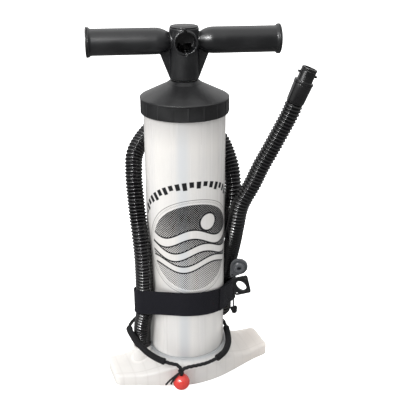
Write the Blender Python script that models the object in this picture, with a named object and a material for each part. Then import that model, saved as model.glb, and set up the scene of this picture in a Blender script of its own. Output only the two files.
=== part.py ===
"""Manual inflation hand pump: foot board, translucent barrel, T handle, corrugated hose, loose fittings.

Metres, +Z up. The origin is on the ground under the barrel's axis, and +X runs along the right wing of
the foot board. The pump stands with its piston at the bottom of the stroke.
"""

import math

import bmesh
import bpy
from mathutils import Matrix, Vector

MM = 0.001
MERGE = 0.000002
GAP = 0.3 * MM

# Barrel, hub and outlet valve
BARREL_R = 57.5 * MM
BARREL_BORE = 55.0 * MM
BARREL_BOTTOM = 36.3 * MM
BARREL_TOP = 427.0 * MM
HUB_R = 60.5 * MM
HUB_TOP = 42.4 * MM
HUB_FLOOR_TOP = 34.0 * MM
HUB_FLOOR_BOTTOM = 30.0 * MM
VALVE_CHAMBER_R = 20.0 * MM
VALVE_HOLE_R = 13.0 * MM
VALVE_DISC_R = 16.5 * MM
VALVE_DISC_THICK = 2.1 * MM

# Foot board
WING_LEFT = 123.0 * MM
WING_RIGHT = 129.0 * MM
WING_HALF_WIDTH = 28.5 * MM
WING_TIP_RADIUS = 9.0 * MM
WING_HEIGHT = 16.6 * MM
FRONT_BULGE = 66.5 * MM
FRONT_REACH = 145.0 * MM
RAMP_REACH = 105.0 * MM
RAMP_TOP = 41.9 * MM
BOARD_WALL = 3.0 * MM
RIB_THICK = 2.6 * MM
RIB_SPACING = 17.0 * MM
RIB_FIRST = 44.0 * MM

# Air duct under the foot board, from the hub to the hose port
PORT_X = -72.0 * MM
PORT_BORE = 11.3 * MM
PORT_BOSS_R = 15.5 * MM
PORT_TOP = 45.0 * MM
DUCT_WALL = 3.5 * MM
DUCT_END_R = 12.0 * MM
DUCT_FLOOR = 15.0 * MM
DUCT_CEILING = 26.5 * MM
DUCT_COVER_THICK = 2.7 * MM
POST_R = 14.0 * MM

# Cap and rod guide
CAP_R = 62.2 * MM
CAP_BOTTOM = 411.0 * MM
CAP_SHOULDER = 432.0 * MM
CAP_TOP = 455.5 * MM
CAP_NECK_R = 19.2 * MM
CAP_WALL = 3.0 * MM
BUSH_R = 16.1 * MM
BUSH_LIP_BOTTOM = 435.5 * MM

# Piston, rod and stroke
ROD_R = 12.5 * MM
ROD_BORE = 9.5 * MM
ROD_TOP = 493.0 * MM
ROD_BOTTOM = 60.3 * MM
PISTON_R = 53.5 * MM
PISTON_BOTTOM = 46.0 * MM
PISTON_TOP = 58.0 * MM
PISTON_HUB_R = 17.0 * MM
PISTON_HUB_TOP = 80.0 * MM
SEAL_R = 54.7 * MM
SEAL_SEAT_R = 48.5 * MM

# Handle
HANDLE_YAW = math.radians(-12.85)
HANDLE_Z = 508.3 * MM
HANDLE_HALF = 131.5 * MM
GRIP_R = 17.8 * MM
GRIP_BORE = 14.6 * MM
GRIP_FLANGE_R = 20.2 * MM
GRIP_NECK_R = 10.8 * MM
COLUMN_R = 20.0 * MM
COLUMN_BOTTOM = 456.8 * MM
COLUMN_TOP = 525.8 * MM
CROWN_TOP = 528.8 * MM
HANDLE_PORT_R = 13.9 * MM
HANDLE_PORT_RIM = 16.2 * MM
HANDLE_PORT_FRONT = 23.0 * MM
WEB_REACH = 34.0 * MM
WEB_THICK = 6.0 * MM
SCREW_RISE = 13.0 * MM
SCREW_SHANK_R = 2.2 * MM
SCREW_HEAD_R = 3.4 * MM
SCREW_HOLE_R = 2.6 * MM

# Hose
HOSE_R = 12.2 * MM
HOSE_BORE = 9.4 * MM
HOSE_CLEAR_R = 70.6 * MM
HOSE_STEP = 22.0 * MM
SPIGOT_R = 8.3 * MM
SPIGOT_BORE = 6.3 * MM
NOZZLE_R = 11.0 * MM
NOZZLE_BORE = 8.4 * MM
HOSE_END_R = 151.4 * MM
HOSE_END_AZIMUTH = -25.7
HOSE_END_Z = 426.0 * MM
HOSE_END_AZIMUTH_LEAN = -20.0
HOSE_END_LEAN = math.radians(21.1)
CUFF_LENGTH = 28.5 * MM
NOZZLE_LENGTH = 51.8 * MM

# Strap
STRAP_WIDTH = 38.5 * MM
STRAP_THICK = 2.0 * MM
STRAP_MID = 121.0 * MM
STRAP_TILT = 0.24
STRAP_TILT_AZIMUTH = math.radians(70.0)

# Leash, ball, adaptors
CORD_R = 2.4 * MM
SLEEVE_R = 4.5 * MM
SLEEVE_BORE = 2.8 * MM
BALL_R = 12.6 * MM
BALL_Z = 16.5 * MM
BALL_BORE = 2.9 * MM
KNOT_STEM_R = 2.4 * MM
TETHER_R = 1.3 * MM
ADAPTOR_AZIMUTH = math.radians(-20.0)
FLANGE_R = 13.0 * MM
SPIGOT_OUTER_R = 8.2 * MM
PLATE_HALF = (9.0 * MM, 11.3 * MM)
PLATE_CORNER = 3.2 * MM
PLATE_HOLE = (5.9, 9.6)
PLATE_HOLE_TILT = math.radians(26.0)


def polar(radius, azimuth, height):
    """A point at a distance from the barrel's axis (mm), a direction (degrees) and a height (mm)."""
    angle = math.radians(azimuth)
    return Vector((radius * math.cos(angle), radius * math.sin(angle), height)) * MM


def clear_scene():
    for thing in list(bpy.data.objects):
        bpy.data.objects.remove(thing)


def material(name, colour, roughness, metallic=0.0):
    made = bpy.data.materials.new(name)
    made.use_nodes = True
    shader = made.node_tree.nodes["Principled BSDF"]
    shader.inputs["Base Color"].default_value = (*colour, 1.0)
    shader.inputs["Roughness"].default_value = roughness
    shader.inputs["Metallic"].default_value = metallic
    return made


def add_object(name, bm, surface, origin=(0, 0, 0), sharp_degrees=35):
    """An object made from a closed bmesh in world space, with its origin moved to the given point."""
    bmesh.ops.recalc_face_normals(bm, faces=bm.faces)
    bmesh.ops.translate(bm, verts=bm.verts, vec=-Vector(origin))
    mesh = bpy.data.meshes.new(name)
    bm.to_mesh(mesh)
    bm.free()
    mesh.materials.append(surface)
    mesh.shade_smooth()
    mesh.set_sharp_from_angle(angle=math.radians(sharp_degrees))
    thing = bpy.data.objects.new(name, mesh)
    thing.location = origin
    bpy.context.scene.collection.objects.link(thing)
    return thing


def joint_empty(name, location, parent=None):
    """An empty on a joint's axis, which carries the pieces that move together."""
    empty = bpy.data.objects.new(name, None)
    bpy.context.scene.collection.objects.link(empty)
    empty.parent = parent
    empty.location = Vector(location) - (parent.matrix_world.translation if parent else Vector())
    bpy.context.view_layer.update()
    return empty


def carry(empty, *pieces):
    """Parents pieces to a joint's empty without moving them."""
    for piece in pieces:
        piece.parent = empty
        piece.matrix_parent_inverse = empty.matrix_world.inverted()


# ---------------------------------------------------------------- shape tools


def turned(outline, segments):
    """A body turned about Z from (radius, height) points: a closed outline, or both ends on the axis."""
    bm = bmesh.new()
    verts = [bm.verts.new((radius, 0, height)) for radius, height in outline]
    loop = list(zip(verts, verts[1:] + verts[:1]))
    if outline[0][0] == 0 and outline[-1][0] == 0:
        loop.pop()
    edges = [bm.edges.new(pair) for pair in loop]
    spin = {"cent": (0, 0, 0), "axis": (0, 0, 1), "angle": math.tau, "steps": segments}
    bmesh.ops.spin(bm, geom=verts + edges, use_merge=True, **spin)
    bmesh.ops.remove_doubles(bm, verts=bm.verts, dist=MERGE)
    bmesh.ops.recalc_face_normals(bm, faces=bm.faces)
    return bm


def cylinder(radius, low, high, segments, centre=(0, 0)):
    bm = turned([(0, low), (radius, low), (radius, high), (0, high)], segments)
    bmesh.ops.translate(bm, verts=bm.verts, vec=(*centre, 0))
    return bm


def block(size, centre):
    bm = bmesh.new()
    bmesh.ops.create_cube(bm, size=1.0)
    bmesh.ops.scale(bm, verts=bm.verts, vec=size)
    bmesh.ops.translate(bm, verts=bm.verts, vec=centre)
    return bm


def prism(points, low, high):
    """A flat outline of (x, y) points stood up between two heights."""
    bm = bmesh.new()
    base = bm.faces.new([bm.verts.new((x, y, low)) for x, y in points])
    lifted = bmesh.ops.extrude_face_region(bm, geom=[base], use_keep_orig=True)
    top = [part for part in lifted["geom"] if isinstance(part, bmesh.types.BMVert)]
    bmesh.ops.translate(bm, verts=top, vec=(0, 0, high - low))
    bmesh.ops.recalc_face_normals(bm, faces=bm.faces)
    return bm


def circle_points(radius, count, centre=(0, 0)):
    """Points evenly round a circle."""
    turns = [math.tau * step / count for step in range(count)]
    return [(centre[0] + radius * math.cos(turn), centre[1] + radius * math.sin(turn)) for turn in turns]


def convex_hull(points):
    """The outline of the smallest convex shape round some (x, y) points, counterclockwise."""

    def turn(a, b, c):
        return (b[0] - a[0]) * (c[1] - a[1]) - (b[1] - a[1]) * (c[0] - a[0])

    def chain(ordered):
        kept = []
        for point in ordered:
            while len(kept) > 1 and turn(kept[-2], kept[-1], point) <= 0:
                kept.pop()
            kept.append(point)
        return kept[:-1]

    ordered = sorted(set(points))
    return chain(ordered) + chain(ordered[::-1])


def combined(base, tool, operation):
    """The exact boolean of two closed bodies, as a new bmesh. Both inputs are used up."""
    pair = []
    for bm in (base, tool):
        mesh = bpy.data.meshes.new("operand")
        bm.to_mesh(mesh)
        bm.free()
        thing = bpy.data.objects.new("operand", mesh)
        bpy.context.scene.collection.objects.link(thing)
        pair.append(thing)
    modifier = pair[0].modifiers.new("boolean", "BOOLEAN")
    modifier.operation = operation
    modifier.object = pair[1]
    graph = bpy.context.evaluated_depsgraph_get()
    result = bmesh.new()
    result.from_object(pair[0], graph)
    for thing in pair:
        bpy.data.objects.remove(thing)
    bmesh.ops.remove_doubles(result, verts=result.verts, dist=MERGE)
    bmesh.ops.dissolve_degenerate(result, edges=result.edges, dist=MERGE)
    return result


def union(base, *tools):
    for tool in tools:
        base = combined(base, tool, "UNION")
    return base


def difference(base, *tools):
    for tool in tools:
        base = combined(base, tool, "DIFFERENCE")
    return base


def placed(bm, matrix):
    bmesh.ops.transform(bm, matrix=matrix, verts=bm.verts)
    return bm


def smooth_path(points, step):
    """Points about one step apart along a smooth curve through the given points."""
    padded = [points[0] * 2 - points[1], *points, points[-1] * 2 - points[-2]]
    path = []
    for p0, p1, p2, p3 in zip(padded, padded[1:], padded[2:], padded[3:]):
        count = max(1, round((p2 - p1).length / step))
        for index in range(count):
            t = index / count
            path.append(
                0.5 * (2 * p1 + (p2 - p0) * t + (2 * p0 - 5 * p1 + 4 * p2 - p3) * t**2)
                + 0.5 * (3 * p1 - p0 - 3 * p2 + p3) * t**3
            )
    return path + [points[-1]]


def path_rings(path, radius, sides):
    """Rings of points square to a path, turned so that neighbouring rings don't twist."""
    rings = []
    side = None
    for index, point in enumerate(path):
        ahead = path[min(index + 1, len(path) - 1)] - path[max(index - 1, 0)]
        tangent = ahead.normalized()
        if side is None:
            side = tangent.orthogonal()
        side = (side - tangent * side.dot(tangent)).normalized()
        up = tangent.cross(side)
        turns = [math.tau * step / sides for step in range(sides)]
        rings.append([point + (side * math.cos(turn) + up * math.sin(turn)) * radius for turn in turns])
    return rings


def skinned(rings, closed):
    """A body from rings of equal length: joined end to end when closed, with flat ends otherwise."""
    bm = bmesh.new()
    loops = [[bm.verts.new(point) for point in ring] for ring in rings]
    following = loops[1:] + loops[:1] if closed else loops[1:]
    for near, far in zip(loops, following):
        count = len(near)
        for index in range(count):
            after = (index + 1) % count
            bm.faces.new((near[index], near[after], far[after], far[index]))
    if not closed:
        bm.faces.new(loops[0][::-1])
        bm.faces.new(loops[-1])
    bmesh.ops.recalc_face_normals(bm, faces=bm.faces)
    return bm


def swept(path, radius, sides, bore=None):
    """A round bar along a path, or a pipe when it has a bore."""
    rings = path_rings(path, radius, sides)
    if bore is None:
        return skinned(rings, closed=False)
    return skinned(rings + path_rings(path, bore, sides)[::-1], closed=True)


# ---------------------------------------------------------------- foot board


def ramp_height(x, y):
    """Height of the foot board's top: flat wings that ramp up, ever steeper, to the hub."""
    radius = math.hypot(x, y)
    climb = (RAMP_REACH - radius) / (RAMP_REACH - HUB_R)
    return WING_HEIGHT + (RAMP_TOP - WING_HEIGHT) * min(1.0, max(0.0, climb)) ** 2


def front_half_width(x):
    swell = math.cos(math.pi / 2 * min(1.0, abs(x) / FRONT_REACH)) ** 2
    return WING_HALF_WIDTH + (FRONT_BULGE - WING_HALF_WIDTH) * swell


def back_half_width(x):
    round_hub = math.sqrt(max(0.0, (HUB_R + BOARD_WALL) ** 2 - x * x))
    return max(WING_HALF_WIDTH, round_hub)


def board_columns(inset, middle_count):
    """Pairs of x and how far the board's sides pull in there, with round corners at both wing tips."""
    corner = WING_TIP_RADIUS - inset / 2
    turns = [math.pi / 2 * step / 4 for step in range(5)]
    arc = [(inset + corner * (1 - math.cos(turn)), corner * (1 - math.sin(turn))) for turn in turns]
    left = [(along - WING_LEFT, pull) for along, pull in arc]
    right = [(WING_RIGHT - along, pull) for along, pull in arc[::-1]]
    start = left[-1][0]
    span = right[0][0] - start
    middle = [(start + span * step / middle_count, 0.0) for step in range(1, middle_count)]
    return left + middle + right


def board_body(inset, low, roof, middle_count=24, rows=8):
    """The foot board's outline between a flat bottom and a roof, which is a function of x and y."""
    lower, upper = [], []
    bm = bmesh.new()
    for x, pull in board_columns(inset, middle_count):
        front = -front_half_width(x) + inset + pull
        back = back_half_width(x) - inset - pull
        line = [front + (back - front) * row / rows for row in range(rows + 1)]
        lower.append([bm.verts.new((x, y, low)) for y in line])
        upper.append([bm.verts.new((x, y, roof(x, y))) for y in line])
    for i in range(len(lower) - 1):
        for j in range(rows):
            bm.faces.new((lower[i][j], lower[i][j + 1], lower[i + 1][j + 1], lower[i + 1][j]))
            bm.faces.new((upper[i][j], upper[i + 1][j], upper[i + 1][j + 1], upper[i][j + 1]))
        for j in (0, rows):
            bm.faces.new((lower[i][j], lower[i + 1][j], upper[i + 1][j], upper[i][j]))
    for i in (0, len(lower) - 1):
        for j in range(rows):
            bm.faces.new((lower[i][j], lower[i][j + 1], upper[i][j + 1], upper[i][j]))
    bmesh.ops.triangulate(bm, faces=bm.faces)
    bmesh.ops.recalc_face_normals(bm, faces=bm.faces)
    return bm


def duct_outline(extra):
    """Plan outline of the duct: a belt round the valve chamber and the hose port."""
    chamber = circle_points(VALVE_CHAMBER_R + extra, 32)
    end = circle_points(DUCT_END_R + extra, 32, (PORT_X, 0))
    return convex_hull(chamber + end)


def board_ribs():
    """Cross ribs under both wings and one rib along each wing."""
    ribs = []
    high = HUB_TOP
    for side, length in ((-1, WING_LEFT), (1, WING_RIGHT)):
        x = RIB_FIRST
        while x < length - RIB_SPACING / 2:
            ribs.append(block((RIB_THICK, 4 * FRONT_BULGE, high * 2), (side * x, 0, high / 2)))
            x += RIB_SPACING
        spine = (length - VALVE_CHAMBER_R, RIB_THICK, high * 2)
        ribs.append(block(spine, (side * (length + VALVE_CHAMBER_R) / 2, 0, high / 2)))
    return ribs


def board_cavity():
    """The hollow under the foot board, left solid where there are ribs and round the duct."""

    def roof(x, y):
        return min(ramp_height(x, y) - BOARD_WALL, HUB_FLOOR_BOTTOM)

    hollow = board_body(BOARD_WALL, -BOARD_WALL, roof)
    hollow = difference(hollow, *board_ribs())
    return difference(hollow, prism(duct_outline(DUCT_WALL), -2 * BOARD_WALL, HUB_TOP))


def make_footplate(surface):
    body = union(
        board_body(0.0, 0.0, ramp_height),
        cylinder(HUB_R, HUB_FLOOR_BOTTOM - BOARD_WALL, HUB_TOP, 48),
        cylinder(PORT_BOSS_R, DUCT_FLOOR - BOARD_WALL, PORT_TOP, 32, (PORT_X, 0)),
    )
    body = difference(
        body,
        board_cavity(),
        prism(duct_outline(DUCT_WALL + GAP), -BOARD_WALL, DUCT_FLOOR),
        prism(duct_outline(0.0), DUCT_FLOOR - BOARD_WALL, DUCT_CEILING),
        cylinder(VALVE_CHAMBER_R, DUCT_CEILING - BOARD_WALL, HUB_FLOOR_BOTTOM, 32),
        cylinder(BARREL_R + GAP, HUB_FLOOR_TOP, 2 * HUB_TOP, 48),
        cylinder(VALVE_HOLE_R, DUCT_CEILING, 2 * HUB_TOP, 32),
        cylinder(PORT_BORE, DUCT_CEILING - BOARD_WALL, 2 * HUB_TOP, 32, (PORT_X, 0)),
    )
    return add_object("footplate", body, surface)


def make_duct_cover(surface):
    top = DUCT_FLOOR - GAP
    plate = prism(duct_outline(DUCT_WALL), top - DUCT_COVER_THICK, top)
    post = cylinder(POST_R, 0.0, top - DUCT_COVER_THICK / 2, 32)
    peg = cylinder(3.6 * MM, top - DUCT_COVER_THICK / 2, top + 3.0 * MM, 16)
    return add_object("duct_cover", union(plate, post, peg), surface)


def make_outlet_valve(rubber, steel):
    """A rubber disc under the hub's hole, held up by a light coil spring on the duct cover's peg."""
    top = HUB_FLOOR_BOTTOM - GAP
    low = top - VALVE_DISC_THICK
    nub_low = low - 2.6 * MM
    disc = turned([(0, nub_low), (3.6 * MM, nub_low), (3.6 * MM, low), (VALVE_DISC_R, low),
                   (VALVE_DISC_R, top), (0, top)], 32)
    coil_r, wire_r, turns, per_turn = 5.0 * MM, 0.5 * MM, 4, 10
    start = DUCT_FLOOR + wire_r + GAP
    rise = low - GAP - wire_r - start
    path = []
    for step in range(turns * per_turn + 1):
        turn = math.tau * step / per_turn
        height = start + rise * step / (turns * per_turn)
        path.append(Vector((coil_r * math.cos(turn), coil_r * math.sin(turn), height)))
    disc_object = add_object("outlet_valve_disc", disc, rubber, (0, 0, top))
    spring_object = add_object("outlet_valve_spring", swept(path, wire_r, 5), steel, (0, 0, DUCT_FLOOR))
    return disc_object, spring_object


# ---------------------------------------------------------------- barrel and cap


def make_barrel(surface, gasket_surface):
    tube = turned([(BARREL_BORE, BARREL_BOTTOM), (BARREL_R, BARREL_BOTTOM),
                   (BARREL_R, BARREL_TOP), (BARREL_BORE, BARREL_TOP)], 48)
    low, high = HUB_FLOOR_TOP + GAP, BARREL_BOTTOM - GAP
    rim = BARREL_R - GAP
    ring = turned([(BARREL_BORE, low), (rim, low), (rim, high), (BARREL_BORE, high)], 36)
    return add_object("barrel", tube, surface), add_object("barrel_gasket", ring, gasket_surface)


def make_cap(surface, bush_surface):
    """The cone and its grip ring in one moulding, and the bush in its neck that guides the rod."""
    skirt_bore = BARREL_R + GAP
    neck_bore = BUSH_R + GAP
    shelf = BARREL_TOP + GAP
    neck_low = BUSH_LIP_BOTTOM + 2.5 * MM
    bevel = 1.2 * MM
    cap = turned([
        (skirt_bore, CAP_BOTTOM), (CAP_R - bevel, CAP_BOTTOM), (CAP_R, CAP_BOTTOM + bevel),
        (CAP_R, CAP_SHOULDER), (CAP_R - bevel, CAP_SHOULDER + bevel), (CAP_NECK_R + bevel, CAP_TOP - bevel),
        (CAP_NECK_R, CAP_TOP), (neck_bore, CAP_TOP), (neck_bore, neck_low), (CAP_NECK_R, neck_low),
        (CAP_NECK_R, CAP_TOP - 2.4 * CAP_WALL), (BARREL_R - 6 * MM, CAP_SHOULDER - 0.6 * MM),
        (BARREL_R - 6 * MM, shelf), (skirt_bore, shelf),
    ], 48)
    lip_r = BUSH_R + 2.4 * MM
    bush = turned([
        (ROD_R + GAP, BUSH_LIP_BOTTOM), (lip_r, BUSH_LIP_BOTTOM), (lip_r, neck_low - GAP),
        (BUSH_R, neck_low - GAP), (BUSH_R, CAP_TOP - GAP), (ROD_R + GAP, CAP_TOP - GAP),
    ], 32)
    return add_object("barrel_cap", cap, surface), add_object("rod_bush", bush, bush_surface)


# ---------------------------------------------------------------- piston and rod


def make_piston(surface):
    """Disc with a seal groove, a hub for the rod, an air pocket and six holes down to the intake valve."""
    neck, pocket_r = 12.0 * MM, 25.0 * MM
    pocket_low, pocket_high = 50.0 * MM, 55.0 * MM
    groove_low, groove_high = 49.0 * MM, 55.0 * MM
    rod_seat = ROD_BOTTOM - GAP
    body = turned([
        (neck, PISTON_BOTTOM), (PISTON_R, PISTON_BOTTOM), (PISTON_R, groove_low), (SEAL_SEAT_R, groove_low),
        (SEAL_SEAT_R, groove_high), (PISTON_R, groove_high), (PISTON_R, PISTON_TOP),
        (PISTON_HUB_R + 2 * MM, PISTON_TOP), (PISTON_HUB_R, PISTON_TOP + 2 * MM),
        (PISTON_HUB_R, PISTON_HUB_TOP), (ROD_R + GAP, PISTON_HUB_TOP), (ROD_R + GAP, rod_seat),
        (ROD_BORE, rod_seat), (ROD_BORE, pocket_high), (pocket_r, pocket_high), (pocket_r, pocket_low),
        (neck, pocket_low),
    ], 36)
    holes = [
        cylinder(3.0 * MM, PISTON_BOTTOM - MM, pocket_low + MM, 12, centre)
        for centre in circle_points(19.5 * MM, 6)
    ]
    return add_object("piston_body", difference(body, *holes), surface)


def make_piston_fittings(rubber, plastic):
    """The ring seal in its groove, the screwed retainer under the piston and the bumper on top of it."""
    low, high, bevel = 49.3 * MM, 54.7 * MM, 1.2 * MM
    seal = turned([
        (SEAL_SEAT_R + GAP, low), (SEAL_R - bevel, low), (SEAL_R, low + bevel),
        (SEAL_R, high - bevel), (SEAL_R - bevel, high), (SEAL_SEAT_R + GAP, high),
    ], 36)
    flange_low, flange_high, shank_r, shank_top = 38.5 * MM, 40.9 * MM, 11.6 * MM, 49.5 * MM
    retainer = turned([
        (0, flange_low), (22 * MM, flange_low), (22 * MM, flange_high),
        (shank_r, flange_high), (shank_r, shank_top), (0, shank_top),
    ], 32)
    bumper = turned([
        (ROD_R + GAP, PISTON_HUB_TOP + GAP), (BUSH_R + 3 * MM, PISTON_HUB_TOP + GAP),
        (BUSH_R + 3 * MM, PISTON_HUB_TOP + 6 * MM), (ROD_R + GAP, PISTON_HUB_TOP + 6 * MM),
    ], 32)
    return (
        add_object("piston_seal", seal, rubber),
        add_object("piston_retainer", retainer, plastic),
        add_object("rod_bumper", bumper, rubber),
    )


def make_intake_valve(rubber):
    top = PISTON_BOTTOM - GAP
    low = top - 2.0 * MM
    ring = turned([(12 * MM, low), (30 * MM, low), (30 * MM, top), (12 * MM, top)], 32)
    return add_object("intake_valve_disc", ring, rubber, (0, 0, top))


def make_rod(surface):
    low = ROD_BOTTOM
    tube = turned([(ROD_BORE, low), (ROD_R, low), (ROD_R, ROD_TOP), (ROD_BORE, ROD_TOP)], 32)
    hole = placed(cylinder(SCREW_HOLE_R, 0.0, 2 * ROD_R, 12), screw_frame() @ lay_down())
    return add_object("piston_rod", difference(tube, hole), surface)


def lay_down():
    """Turns +Z to +Y."""
    return Matrix.Rotation(-math.pi / 2, 4, "X")


def handle_frame():
    """From the handle's own frame, grips along X and port towards -Y, to the world."""
    return Matrix.Translation((0, 0, HANDLE_Z)) @ Matrix.Rotation(HANDLE_YAW, 4, "Z")


def screw_frame():
    """The cross screw's place: low in the column, on the side away from the port."""
    return Matrix.Rotation(HANDLE_YAW, 4, "Z") @ Matrix.Translation((0, 0, COLUMN_BOTTOM + SCREW_RISE))


# ---------------------------------------------------------------- handle


def grip_outline():
    """Outline of the double grip along its axis, hollow from both ends."""
    half = [
        (GRIP_NECK_R, 0.0), (GRIP_NECK_R, 20 * MM), (GRIP_NECK_R + 2.4 * MM, 23.8 * MM),
        (GRIP_R - 1.2 * MM, 31.7 * MM), (GRIP_R, 37.5 * MM), (GRIP_R, HANDLE_HALF - 5.6 * MM),
        (GRIP_FLANGE_R - MM, HANDLE_HALF - 5 * MM), (GRIP_FLANGE_R, HANDLE_HALF - 4 * MM),
        (GRIP_FLANGE_R, HANDLE_HALF - 3 * MM), (GRIP_BORE, HANDLE_HALF - 3 * MM),
        (GRIP_BORE, 44 * MM), (0.0, 44 * MM),
    ]
    return [(radius, -along) for radius, along in half[::-1]] + half[1:]


def make_handle(surface):
    across = Matrix.Rotation(math.pi / 2, 4, "Y")
    forward = Matrix.Rotation(math.pi / 2, 4, "X")
    drop = COLUMN_BOTTOM - HANDLE_Z
    crown = COLUMN_TOP - HANDLE_Z
    web_low = drop + 0.7 * MM
    web_half = [(COLUMN_R, web_low), (WEB_REACH, -15 * MM), (WEB_REACH, -4 * MM)]
    web_points = web_half + [(-reach, height) for reach, height in web_half[::-1]]
    web = placed(prism(web_points, -WEB_THICK / 2, WEB_THICK / 2), forward)
    body = union(
        placed(turned(grip_outline(), 32), across),
        cylinder(COLUMN_R, drop, crown, 40),
        web,
        placed(cylinder(HANDLE_PORT_RIM, 0.0, HANDLE_PORT_FRONT, 32), forward),
    )
    port = placed(cylinder(HANDLE_PORT_R, 2 * MM, 2 * HANDLE_PORT_FRONT, 32), forward)
    socket = cylinder(ROD_R + GAP, drop - MM, ROD_TOP + GAP - HANDLE_Z, 32)
    passage = cylinder(ROD_BORE, ROD_TOP - HANDLE_Z, -3.7 * MM, 32)
    body = placed(difference(body, port, socket, passage), handle_frame())
    screw_hole = placed(cylinder(SCREW_HOLE_R, 0.0, 2 * COLUMN_R, 12), screw_frame() @ lay_down())
    return add_object("handle_body", difference(body, screw_hole), surface, (0, 0, HANDLE_Z))


def make_handle_fittings(surface, crown_surface, steel):
    """The crown disc, both grip end plugs and the cross screw that holds the handle on the rod."""
    low = COLUMN_TOP + GAP
    rim = COLUMN_R - 0.8 * MM
    crown = turned([
        (0, low), (rim, low), (rim, CROWN_TOP - 1.4 * MM), (rim - 2 * MM, CROWN_TOP - 0.5 * MM),
        (0, CROWN_TOP),
    ], 40)
    turn = Matrix.Rotation(HANDLE_YAW, 4, "Z")
    pieces = [add_object("handle_crown", placed(crown, turn), crown_surface)]
    flange_low, flange_high = HANDLE_HALF - 3 * MM + GAP, HANDLE_HALF
    stem = GRIP_BORE - GAP
    for name, quarter in (("grip_plug_left", -math.pi / 2), ("grip_plug_right", math.pi / 2)):
        plug = turned([
            (0, flange_low - 12 * MM), (stem, flange_low - 12 * MM), (stem, flange_low),
            (GRIP_FLANGE_R, flange_low), (GRIP_FLANGE_R, flange_high - MM),
            (GRIP_FLANGE_R - 1.5 * MM, flange_high), (0, flange_high),
        ], 32)
        plug = placed(plug, handle_frame() @ Matrix.Rotation(quarter, 4, "Y"))
        pieces.append(add_object(name, plug, surface))
    start, end = ROD_BORE + MM, COLUMN_R + GAP
    screw = turned([
        (0, start), (SCREW_SHANK_R, start), (SCREW_SHANK_R, end), (SCREW_HEAD_R, end),
        (SCREW_HEAD_R, end + 1.6 * MM), (0, end + 2 * MM),
    ], 12)
    pieces.append(add_object("rod_screw", placed(screw, screw_frame() @ lay_down()), steel))
    return pieces


# ---------------------------------------------------------------- hose


def hose_end_frame():
    """The free end's fitting: its origin where the cuff starts, +Z along the nozzle."""
    place = Matrix.Translation(polar(HOSE_END_R / MM, HOSE_END_AZIMUTH, HOSE_END_Z / MM))
    turn = Matrix.Rotation(math.radians(HOSE_END_AZIMUTH_LEAN), 4, "Z")
    return place @ turn @ Matrix.Rotation(HOSE_END_LEAN, 4, "Y")


def hose_path(step):
    """Centre line: up the left side, behind the barrel, down into a low bend and up to the free end."""
    clear = HOSE_CLEAR_R / MM
    stations = [
        (72, 180, 48.6), (72, 180.3, 63), (73, 184, 82), (71, 188, 106), (clear, 189, 130),
        (clear, 189, 190), (clear, 182, 232), (71, 172.5, 259), (72.5, 164, 285), (75.7, 152.5, 317),
        (78, 137.5, 345), (76, 107, 372), (73, 70, 388), (76.2, 34, 360), (75.6, 11, 325),
        (74, -2, 290), (73, -1, 262), (72.3, 8, 237), (71.6, 21, 209), (71.2, 38, 178), (71.2, 54, 148),
        (71.8, 66, 118), (76, 68, 90), (81, 50, 62), (79.5, 31, 58), (77, 20, 70), (71.8, 18, 100),
        (71, 15, 120), (clear, 8.5, 140), (clear, 0, 170), (clear, -18, 208), (75, -28.5, 242),
        (81.4, -30.6, 275), (97, -28.9, 307), (109, -27.9, 335), (122.5, -27, 362),
    ]
    frame = hose_end_frame()
    ends = [frame @ Vector((0, 0, -20 * MM)), frame @ Vector((0, 0, -GAP))]
    return smooth_path([polar(*station) for station in stations] + ends, step)


def make_hose(surface):
    pipe = swept(hose_path(HOSE_STEP), HOSE_R, 10, HOSE_BORE)
    return add_object("hose", pipe, surface, sharp_degrees=60)


def ring_seal(groove_r, groove_low, groove_high):
    """A rubber ring that fills a groove in a nozzle."""
    inner, low, high = groove_r + GAP / 2, groove_low + GAP, groove_high - GAP
    return turned([(inner, low), (NOZZLE_R, low), (NOZZLE_R, high), (inner, high)], 24)


def make_base_plug(surface, rubber):
    """The fitting that plugs the hose into the foot board, and its ring seal."""
    groove_low, groove_high, groove_r = 33.0 * MM, 36.0 * MM, 9.4 * MM
    collar_low, collar_high, top = PORT_TOP + GAP, 48.3 * MM, 62.0 * MM
    plug = turned([
        (SPIGOT_BORE, 25 * MM), (NOZZLE_R, 25 * MM), (NOZZLE_R, groove_low), (groove_r, groove_low),
        (groove_r, groove_high), (NOZZLE_R, groove_high), (NOZZLE_R, collar_low), (13.2 * MM, collar_low),
        (13.2 * MM, collar_high), (SPIGOT_R, collar_high), (SPIGOT_R, top), (SPIGOT_BORE, top),
    ], 24)
    seal = ring_seal(groove_r, groove_low, groove_high)
    shift = Matrix.Translation((PORT_X, 0, 0))
    return (
        add_object("hose_base_plug", placed(plug, shift), surface),
        add_object("base_plug_seal", placed(seal, shift), rubber),
    )


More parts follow.
